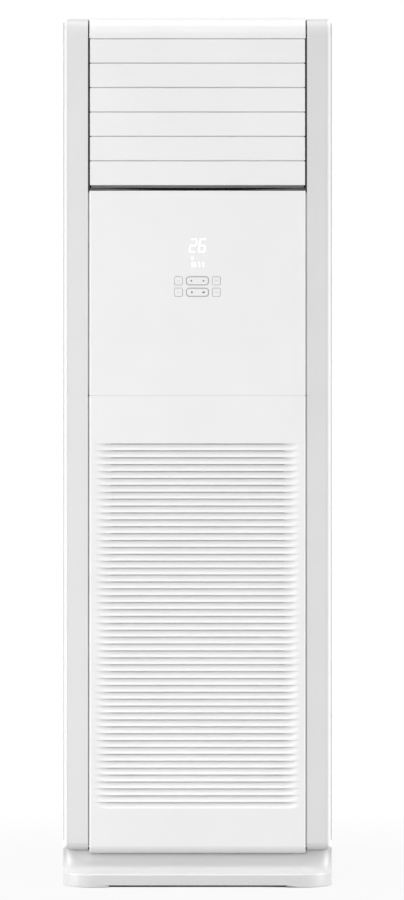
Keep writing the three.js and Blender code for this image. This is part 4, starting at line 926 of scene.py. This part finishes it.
def makeDisplayPanel():
    edge, inner = casing["edge"], faceHalf - wall
    bottom, top = displayLow.z, displayHigh.z - casing["sillDrop"]
    plan = [(-faceHalf, returnBack), (-faceHalf, faceY), (faceHalf, faceY), (faceHalf, returnBack)]
    panel = newObject("displayPanel", prism("z", plan, bottom, top, {1: edge, 2: edge}, 8))
    rounds = {1: panelFit["bottomEdge"], 2: panelFit["topEdge"]}
    side = prism("x", rectangle(returnBack, bottom, faceY, top), -beyond, beyond, rounds, 6)
    carve(panel, side, "INTERSECT")
    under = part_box("outlet_floor")[0].z - overlap
    for x, front, foot, head in ((inner, faceY + wall, bottom + wall, top - wall),
                                 (inner, lipBack, bottom - past, top + past),
                                 (beyond, lipBack, under, top + past)):
        carve(panel, boxBm((-x, front, foot), (x, returnBack + past, head)))
    for name in keyNames:
        carve(panel, keyShape(name, 0.0, faceY - past, faceY + past))
    near, far = panelFit["hookDepth"]
    for turn in (1, -1):
        start, end = across(turn, faceHalf - mm, displayHigh.x)
        for share in panelFit["hooks"]:
            z = bottom + share * (top - bottom)
            hook = boxBm((start, returnBack - near, z), (end, returnBack - far, z + panelFit["hookHeight"]))
            carve(panel, hook, "UNION")
    softEdges(panel, panelFit["edge"], 3, 50)
    dress(panel, "panel_white", "cabinet", "display_panel")
    boardLow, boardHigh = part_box("display_board")
    inset, end = panelFit["bossInset"], boardHigh.y - panelFit["bossGap"]
    bosses = [rodBm("y", (x, z), panelFit["bossRadius"], faceY + wall - 0.2 * mm, end, 20, 0.85)
              for x in (boardLow.x + inset, boardHigh.x - inset)
              for z in (boardLow.z + inset, boardHigh.z - inset)]
    trim("boardPosts", merged(*bosses), "panel_white", "cabinet")
    tuck = boxBm((-inner, faceY + panelFit["seamDepth"], intakeHigh.z + panelFit["seamGap"]),
                 (inner, lipBack, bottom + 0.2 * mm))
    trim("seamStrip", tuck, "panel_white", "cabinet")
    print("display panel made")


prints = {
    "triangle": 2.5 * mm,  # from its middle to a corner
    "ring": 3.3 * mm,
    "ringLine": 0.6 * mm,
    "dash": (1.9 * mm, 0.75 * mm),
    "contact": 13 * mm,  # from a rocker's middle to its marks
    "ledge": (1.7 * mm, 1.2 * mm),  # line under the right-hand sign, below the key's middle
}


def discBm(radius, corners, turn=0.0):
    bm = bmesh.new()
    bmesh.ops.create_circle(bm, cap_ends=True, segments=corners, radius=radius)
    bmesh.ops.rotate(bm, matrix=Matrix.Rotation(math.radians(turn), 3, "Z"), verts=bm.verts)
    return bm


def ringBm(radius, line):
    bm = discBm(radius, 28)
    made = bmesh.ops.inset_region(bm, faces=bm.faces[:], thickness=line, use_even_offset=True)
    bmesh.ops.delete(bm, geom=[f for f in bm.faces if f not in made["faces"]], context="FACES")
    return bm


def halfDisc(radius, normal):
    return slicedAt(discBm(radius, 24), (0, 0, 0), normal, True)


def pressOn(bm, x, z):
    # thin ink on the front, with a foot in the key below it
    bmesh.ops.rotate(bm, matrix=Matrix.Rotation(math.pi / 2, 3, "X"), verts=bm.verts)
    pushed(bm, (0, keys["printHeight"] + 0.2 * mm, 0))
    bmesh.ops.translate(bm, verts=bm.verts, vec=(x, printFront, z))
    return outward(bm)


def marksOf(name, x, z):
    left, right, ring = x - prints["contact"], x + prints["contact"], prints["ring"]
    back = faceY + 0.2 * mm
    if name == "upper_rocker_key":
        return [pressOn(discBm(prints["triangle"], 3, turn), at, z)
                for turn, at in ((210, left), (30, right))]
    if name == "lower_rocker_key":
        foot, head = prints["ledge"]
        return [pressOn(ringBm(ring, prints["ringLine"]), left, z),
                pressOn(halfDisc(ring * 0.8, (1, 0, 0)), left, z),
                pressOn(halfDisc(ring * 0.82, (0, 1, 0)), right, z - mm),
                boxBm((right - ring, printFront, z - foot), (right + ring, back, z - head))]
    long, thin = prints["dash"]
    count = 2 if "left" in name else 3
    places = [x + (i - (count - 1) / 2) * 1.5 * long for i in range(count)]
    return [boxBm((at - long / 2, printFront, z - thin / 2), (at + long / 2, back, z + thin / 2))
            for at in places]


def makeKeys():
    for name in keyNames:
        low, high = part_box(name)
        isRocker = "rocker" in name
        flangeFront = high.y - keys["flange"]
        body = newObject(name + ".fine", keyShape(name, keys["gap"], faceY, flangeFront + overlap, 10))
        carve(body, keyShape(name, -keys["flange"], flangeFront, high.y), "UNION")
        dress(softEdges(body, keys["edge"], 4, 50), "key_white", name, name)
        # a grey ring round the key's edge: painted shade that widens the dark seam round it
        line = keys["rockerSeamShade"] if isRocker else keys["smallSeamShade"]
        start = keys["gap"] + keys["edge"] * 0.7
        seamShadeRing = newObject(name + ".line", keyShape(name, start, printFront, faceY + overlap))
        carve(seamShadeRing, keyShape(name, start + line, printFront - mm, faceY + mm))
        dress(seamShadeRing, "greySeamShade" if isRocker else "paleInkAndSeamShade", name)
        marks = marksOf(name, (low.x + high.x) / 2, (low.z + high.z) / 2)
        dress(newObject(name + ".marks", merged(*marks)), "darkInk" if isRocker else "paleInkAndSeamShade", name)
    print("keys made:", len(keyNames))


display = {
    "middle": 1377.6 * mm,
    "digits": (-9.4 * mm, 10.1 * mm),
    "width": 12.6 * mm,  # between the middles of the upright strokes
    "height": 27 * mm,
    "stroke": 2.6 * mm,
    "slant": 0.13,
    "depth": 0.3 * mm,
    "dot": (-10.9 * mm, 1350.4 * mm, 2.9 * mm),
    "bars": (-10.9 * mm, -4.6 * mm, 4.0 * mm, 12.2 * mm),
    "barSpan": (1331.6 * mm, 1342.2 * mm),
    "barWidth": 2.6 * mm,
}
# strokes of a digit: (from column, from row, to column, to row), rows counted from the foot
strokesOf = {
    "2": ((0, 2, 1, 2), (1, 2, 1, 1), (0, 1, 1, 1), (0, 1, 0, 0), (0, 0, 1, 0)),
    "6": ((0, 2, 1, 2), (0, 2, 0, 1), (0, 1, 1, 1), (0, 1, 0, 0), (1, 1, 1, 0), (0, 0, 1, 0)),
}


def strokeBm(start, end, width):
    # a bar with pointed ends between two corners of a digit
    run = end - start
    half = (run.length - 0.5 * mm) / 2
    bm = boxBm((-half, -0.5, -width / 2), (half, 0.5, width / 2))
    tips = [e for e in bm.edges if e.calc_length() > 0.9]
    bmesh.ops.bevel(bm, geom=tips, offset=width * 0.49, segments=1, profile=0.5, affect="EDGES", material=-1)
    turn = math.atan2(run.z, run.x)
    bmesh.ops.rotate(bm, matrix=Matrix.Rotation(-turn, 3, "Y"), verts=bm.verts)
    bmesh.ops.translate(bm, verts=bm.verts, vec=(start + end) / 2)
    return bm


def makeReadout():
    width, rise = display["width"], display["height"] / 2
    back = printFront + display["depth"]
    lit = []
    for digit, middle in zip("26", display["digits"]):
        for fromX, fromZ, toX, toZ in strokesOf[digit]:
            start = Vector(((fromX - 0.5) * width, 0, (fromZ - 1) * rise))
            end = Vector(((toX - 0.5) * width, 0, (toZ - 1) * rise))
            bar = strokeBm(start, end, display["stroke"])
            for vert in bar.verts:
                vert.co.y = printFront + (vert.co.y + 0.5) * display["depth"]
                vert.co.x += vert.co.z * display["slant"] + middle
                vert.co.z += display["middle"]
            lit.append(bar)
    x, z, radius = display["dot"]
    lit.append(rodBm("y", (x, z), radius, printFront, back, 28))
    half = display["barWidth"] / 2
    low, high = display["barSpan"]
    for x in display["bars"]:
        lit.append(prism("y", rectangle(x - half, low, x + half, high), printFront, back, half * 0.8, 4))
    dress(newObject("readout", merged(*lit)), "lampWhite", "cabinet")
    print("readout made")


post = {
    "lean": 10 * mm,  # how far it falls back from its inner to its outer edge
    "edge": 0.9 * mm,
    "ledge": (9.6 * mm, 11.4 * mm),  # depth of the lip behind the centre panels' edges
    "ledgeGap": 0.5 * mm,
    "axleHole": 4 * mm,
    "pinHole": 5 * mm,
    "rail": 2 * mm,
    "railGap": 0.6 * mm,
    "railFoot": 3 * mm,  # below the filter
    "railHead": 9 * mm,
    "jointDepth": 2.6 * mm,
    "slices": 4,
}


def leanBack(bm):
    # cuts along the strip, then the lean
    for step in range(1, post["slices"]):
        slicedAt(bm, (postInner + (postOuter - postInner) * step / post["slices"], 0, 0), (1, 0, 0))
    return leaned(bm)


def leaned(bm):
    for vert in bm.verts:
        share = min(max((postFront + casing["topRound"] - vert.co.y) / casing["topRound"], 0), 1)
        vert.co.y += post["lean"] * share * (vert.co.x - postInner) / (sideLow.x - postInner)
    return bm


def makePost(part, isTop):
    low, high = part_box(f"right_{part}_post")
    front = postFront
    radius = casing["topRound"] if isTop else footRound
    foot = low.z - casing["footDrop"]
    if isTop:
        strip = [(webBack, high.z), (front, high.z), (front, low.z), (front + wall, low.z),
                 (front + wall, high.z - wall), (webBack, high.z - wall)]
        web = rectangle(webBack, high.z, front, low.z)
        ledgeSpan = (low.z, high.z - radius)
    else:
        strip = [(front + radius + mm, foot), (front, foot), (front, high.z), (front + wall, high.z),
                 (front + wall, foot + wall), (front + radius + mm, foot + wall)]
        web = rectangle(webBack, low.z, front, high.z)
        ledgeSpan = (max(low.z, intakeLow.z + radius), high.z)
    stripBm = prism("x", strip, postInner, postOuter, {1: radius, 4: radius - wall}, 18)
    shell = newObject(part + "Post", leanBack(stripBm))
    carve(shell, leaned(prism("x", web, postInner, postInner + wall, {1: radius}, 18)), "UNION")
    near, far = post["ledge"]
    carve(shell, boxBm((faceHalf + post["ledgeGap"], faceY + near, ledgeSpan[0] + mm),
                       (postInner + mm, faceY + far, ledgeSpan[1])), "UNION")
    holes = louverNames if isTop else ["intake_panel"]
    for pivot in [pivotOf[name] for name in holes]:
        size = post["axleHole"] if isTop else post["pinHole"]
        carve(shell, rodBm("x", (pivot.y, pivot.z), size, postInner - past, postInner + past, 20))
    if not isTop:
        filterLow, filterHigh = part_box("air_filter")
        rail, gap, under = post["rail"], post["railGap"], filterLow.z - post["railFoot"]
        head, stop = filterHigh.z + post["railHead"], 2.4 * mm
        for y, end, top in ((filterLow.y - rail - gap, filterLow.y - gap, head),
                            (filterHigh.y + gap, filterHigh.y + gap + rail, head),
                            (filterLow.y - stop, filterHigh.y + stop, filterLow.z - mm)):
            carve(shell, boxBm((low.x, y, under), (postInner + mm, end, top)), "UNION")
    softEdges(shell, post["edge"], 3, 55).modifiers.clear()
    return shell


def bothSides(right, name):
    # the right-hand piece and its mirror image, each in place of its own node
    left = linked(right.copy())
    left.data = right.data.copy()
    left.data.transform(Matrix.Scale(-1, 4, (1, 0, 0)))
    left.data.flip_normals()
    for obj, side in ((right, "right"), (left, "left")):
        node = f"{side}_{name}"
        obj.name = node + ".fine"
        dress(smoothShade(obj, 35), slotOf[node], nodes[node]["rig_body"], node)


def makePosts():
    for part, isTop in (("upper", True), ("lower", False)):
        bothSides(makePost(part, isTop), f"{part}_post")
    low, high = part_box("right_lower_post")[1].z - 0.2 * mm, postLow.z + 0.2 * mm
    for name, turn in (("rightPostJoint", 1), ("leftPostJoint", -1)):
        joint = boxBm((postInner + overlap, postFront + panelFit["seamDepth"], low),
                      (postOuter, postFront + post["jointDepth"], high))
        trim(name, toSide(leanBack(joint), turn), "post_grey", "cabinet")
    print("posts made")


sidePanel = {
    "backCorner": 8 * mm,
    "topRun": 28 * mm,
    "footRun": 8 * mm,
    "shoulder": 26 * mm,  # height of the round over its outer top edge
    "skirt": (8 * mm, 17 * mm),
    "lineDepth": 0.6 * mm,  # pressed line level with the middle seam
    "lineHeight": 1.2 * mm,
    "shadeBeadPlace": 2.7 * mm,  # from the outer face in to the groove between the frame and the sheet; a dark strip in it is painted shade along the outline
    "shadeBeadWidth": 1.2 * mm,
    "shadeBeadDepth": 0.45 * mm,
    "shadeBeadEnds": (14 * mm, 20 * mm),  # from the back and from the foot
    "grooveDepth": 0.9 * mm,
}


def sideShape(inset, innerX, bottom, top):
    # its outlines from above, from the side and from the front
    front, back, outer = sideLow.y + inset, sideHigh.y - inset, sideHigh.x - inset
    foot, head = bottom + inset, top - inset
    strip, corner = outer - sideLow.x, sidePanel["backCorner"] - inset
    run, rise = sidePanel["skirt"]
    plan = prism("z", rectangle(innerX, front, outer, back), foot, head, {1: strip, 2: corner}, 14)
    side = prism("x", [(back, foot), (back, head), (front, head), (front, foot)], innerX - past, outer + past,
                 {2: (sidePanel["topRun"] - inset, casing["topRound"] - inset),
                  3: (sidePanel["footRun"] - inset, footRound - inset)}, 18)
    elevation = prism("y", rectangle(innerX, foot, outer, head), front - past, back + past,
                      {1: (run - inset, rise - inset), 2: (strip, sidePanel["shoulder"] - inset)}, 14)
    return plan, side, elevation


def sideSolid(name, inset, further=0.0, bottom=sideLow.z):
    # what the three outlines have in common
    plan, side, elevation = sideShape(inset, sideLow.x - further, bottom, sideHigh.z)
    solid = newObject(name, plan)
    carve(solid, side, "INTERSECT")
    return carve(solid, elevation, "INTERSECT")


def makeSidePanels():
    bottom, top = sideLow.z, sideHigh.z
    shell = sideSolid("sidePanel", 0.0)
    hollow = sideSolid("hollow", casing["sheet"], 2 * mm)
    half, reach = sidePanel["lineHeight"] / 2, 0.1
    line = newObject("line", boxBm((sideLow.x + overlap, sideLow.y - mm, midSeam - half),
                                   (sideHigh.x + mm, sideHigh.y + mm, midSeam + half)))
    carve(line, sideShape(sidePanel["lineDepth"], sideLow.x - 4 * mm, midSeam - reach, midSeam + reach)[0])
    fromBack, fromFoot = sidePanel["shadeBeadEnds"]
    outer = sideHigh.x - sidePanel["shadeBeadPlace"] + sidePanel["shadeBeadWidth"] / 2
    seam = ((outer - sidePanel["shadeBeadWidth"], sideLow.y - mm, bottom + fromFoot),
            (outer, sideHigh.y - fromBack, top + mm))
    depth = sidePanel["grooveDepth"]
    groove = newObject("groove", boxBm(*seam))
    carve(groove, meshOf(sideSolid("inner", depth, 4 * mm)))
    # a dark strip in the groove: painted shade along the outline of each side
    shadeBead = sideSolid("shadeBead", sidePanel["shadeBeadDepth"], 4 * mm)
    carve(shadeBead, meshOf(sideSolid("inner", depth + 0.1 * mm, 6 * mm, bottom - past)))
    carve(shadeBead, boxBm(*seam), "INTERSECT")
    for tool in (hollow, line, groove):
        carve(shell, meshOf(tool))
    softEdges(shell, 0.3 * mm, 2, 50).modifiers.clear()
    bothSides(shell, "side_panel")
    for turn, name in ((1, "rightSideShadeBead"), (-1, "leftSideShadeBead")):
        trim(name, toSide(meshOf(shadeBead, keep=True), turn), "sealGrey", "cabinet")
    bpy.data.objects.remove(shadeBead)
    print("side panels made")


plinth = {
    "foot": 5 * mm,
    "footWidth": 100 * mm,
    "footEdge": 0.9 * mm,
    "lip": 30 * mm,
    "lipRound": 4 * mm,
    "cove": 36 * mm,  # how far it steps back under the panels
    "band": 2 * mm,
    "corner": 70 * mm,
    "backCorner": 8 * mm,
    "wall": 14 * mm,
    "innerCorner": 6 * mm,
    "floor": 5 * mm,
    "gapReach": 100 * mm,  # how far the cutters of the foot gap stand out
    "shadeInset": 20 * mm,  # of the grey patch under the unit, a painted shadow in the foot gap
}


def plinthLevels(top):
    # (height, setback) of each level from the floor up
    soft, lip, cove = plinth["lipRound"], plinth["lip"], plinth["cove"]
    coveRise = top - plinth["band"] - lip
    levels = [(0.0, soft / 2), (plinth["footEdge"], soft / 5), (plinth["foot"], 0.0), (lip - soft, 0.0)]
    for angle in [math.radians(15 * step) for step in range(1, 7)]:
        levels.append((lip - soft + soft * math.sin(angle), soft - soft * math.cos(angle)))
    for angle in [math.radians(5 * step) for step in range(1, 19)]:
        levels.append((lip + coveRise * (1 - math.cos(angle)), soft + (cove - soft) * math.sin(angle)))
    return levels + [(top, cove)]


def makePlinth():
    low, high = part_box("base_plinth")
    corner, rear = plinth["corner"], plinth["backCorner"]
    levels = plinthLevels(high.z)
    body = prism("z", rectangle(low.x, low.y, high.x, high.y), low.z, high.z,
                 {0: corner, 1: corner, 2: rear, 3: rear}, 20)
    for height, _ in levels[1:-1]:
        slicedAt(body, (0, 0, height), (0, 0, 1))
    centre = low.y + corner
    for vert in body.verts:
        setback = min(levels, key=lambda level: abs(level[0] - vert.co.z))[1]
        if vert.co.y < centre:
            vert.co.y = centre - (centre - vert.co.y) * (corner - setback) / corner
    shell = newObject("basePlinth", body)
    thick, foot, wide = plinth["wall"], plinth["foot"], plinth["footWidth"]
    inside = rectangle(low.x + thick, low.y + plinth["cove"] + thick, high.x - thick, high.y - thick)
    carve(shell, prism("z", inside, foot + plinth["floor"], high.z + past, plinth["innerCorner"], 5))
    reach = plinth["gapReach"]
    carve(shell, boxBm((low.x + wide, low.y - reach, -past), (high.x - wide, high.y + reach, foot)))
    carve(shell, boxBm((low.x - reach, low.y + wide, -past), (high.x + reach, high.y - wide, foot)))
    # the plinth's finish paints shade high in the cove under the panels
    dress(softEdges(shell, 0.5 * mm, 2, 60), "plinthGreyShaded", "cabinet", "base_plinth", slot="post_grey")
    # a grey patch on the floor under the unit: painted shadow that darkens the foot gap
    inset = plinth["shadeInset"]
    patch = rectangle(low.x + inset, low.y + inset, high.x - inset, high.y - inset)
    shade = prism("z", patch, low.z - 0.3 * mm, low.z - 0.2 * mm, {0: corner, 1: corner}, 12)
    contact = newObject("contactShade", shade)
    contact.data.materials.append(finishes["post_grey"])
    print("plinth made")


sill = {
    "place": (9 * mm, 11 * mm),  # behind the front face
    "start": 80 * mm,  # from the middle out to where the strip starts to rise
    "rise": 4.6 * mm,
    "base": 1.2 * mm,
    "bend": 1.3,
    "sections": 22,
    "endGap": 1.5 * mm,
}


def makeSillStrip():
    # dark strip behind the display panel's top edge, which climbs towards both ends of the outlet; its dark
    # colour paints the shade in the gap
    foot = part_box("outlet_floor")[1].z
    near, far = sill["place"]
    end = faceHalf - sill["endGap"]
    bm = gridBm(2 * sill["sections"] + 1, 2)
    pushed(bm, (0, 0, 1))
    for vert in bm.verts:
        x = (vert.co.x / sill["sections"] - 1) * end
        climb = max(abs(x) - sill["start"], 0.0) / (end - sill["start"])
        top = foot + sill["base"] + sill["rise"] * climb ** sill["bend"]
        z = top if vert.co.y > 0.5 else foot - 0.4 * mm
        vert.co = (x, faceY + (far if vert.co.z > 0.5 else near), z)
    strip = newObject("sillStrip", outward(bm))
    dress(softEdges(strip, 0.3 * mm, 2, 50), "sealGrey", "cabinet")
    print("sill strip made")


makeIntakePanel()
makeLouvers()
makeTopCap()
makeDisplayPanel()
makeKeys()
makeReadout()
makePosts()
makeSidePanels()
makePlinth()
makeSillStrip()


# Everything else keeps the model's shape, with soft edges
for node in sorted(nodes):
    if not nodes[node].hide_render:
        refined(node)
print("model pieces refined")
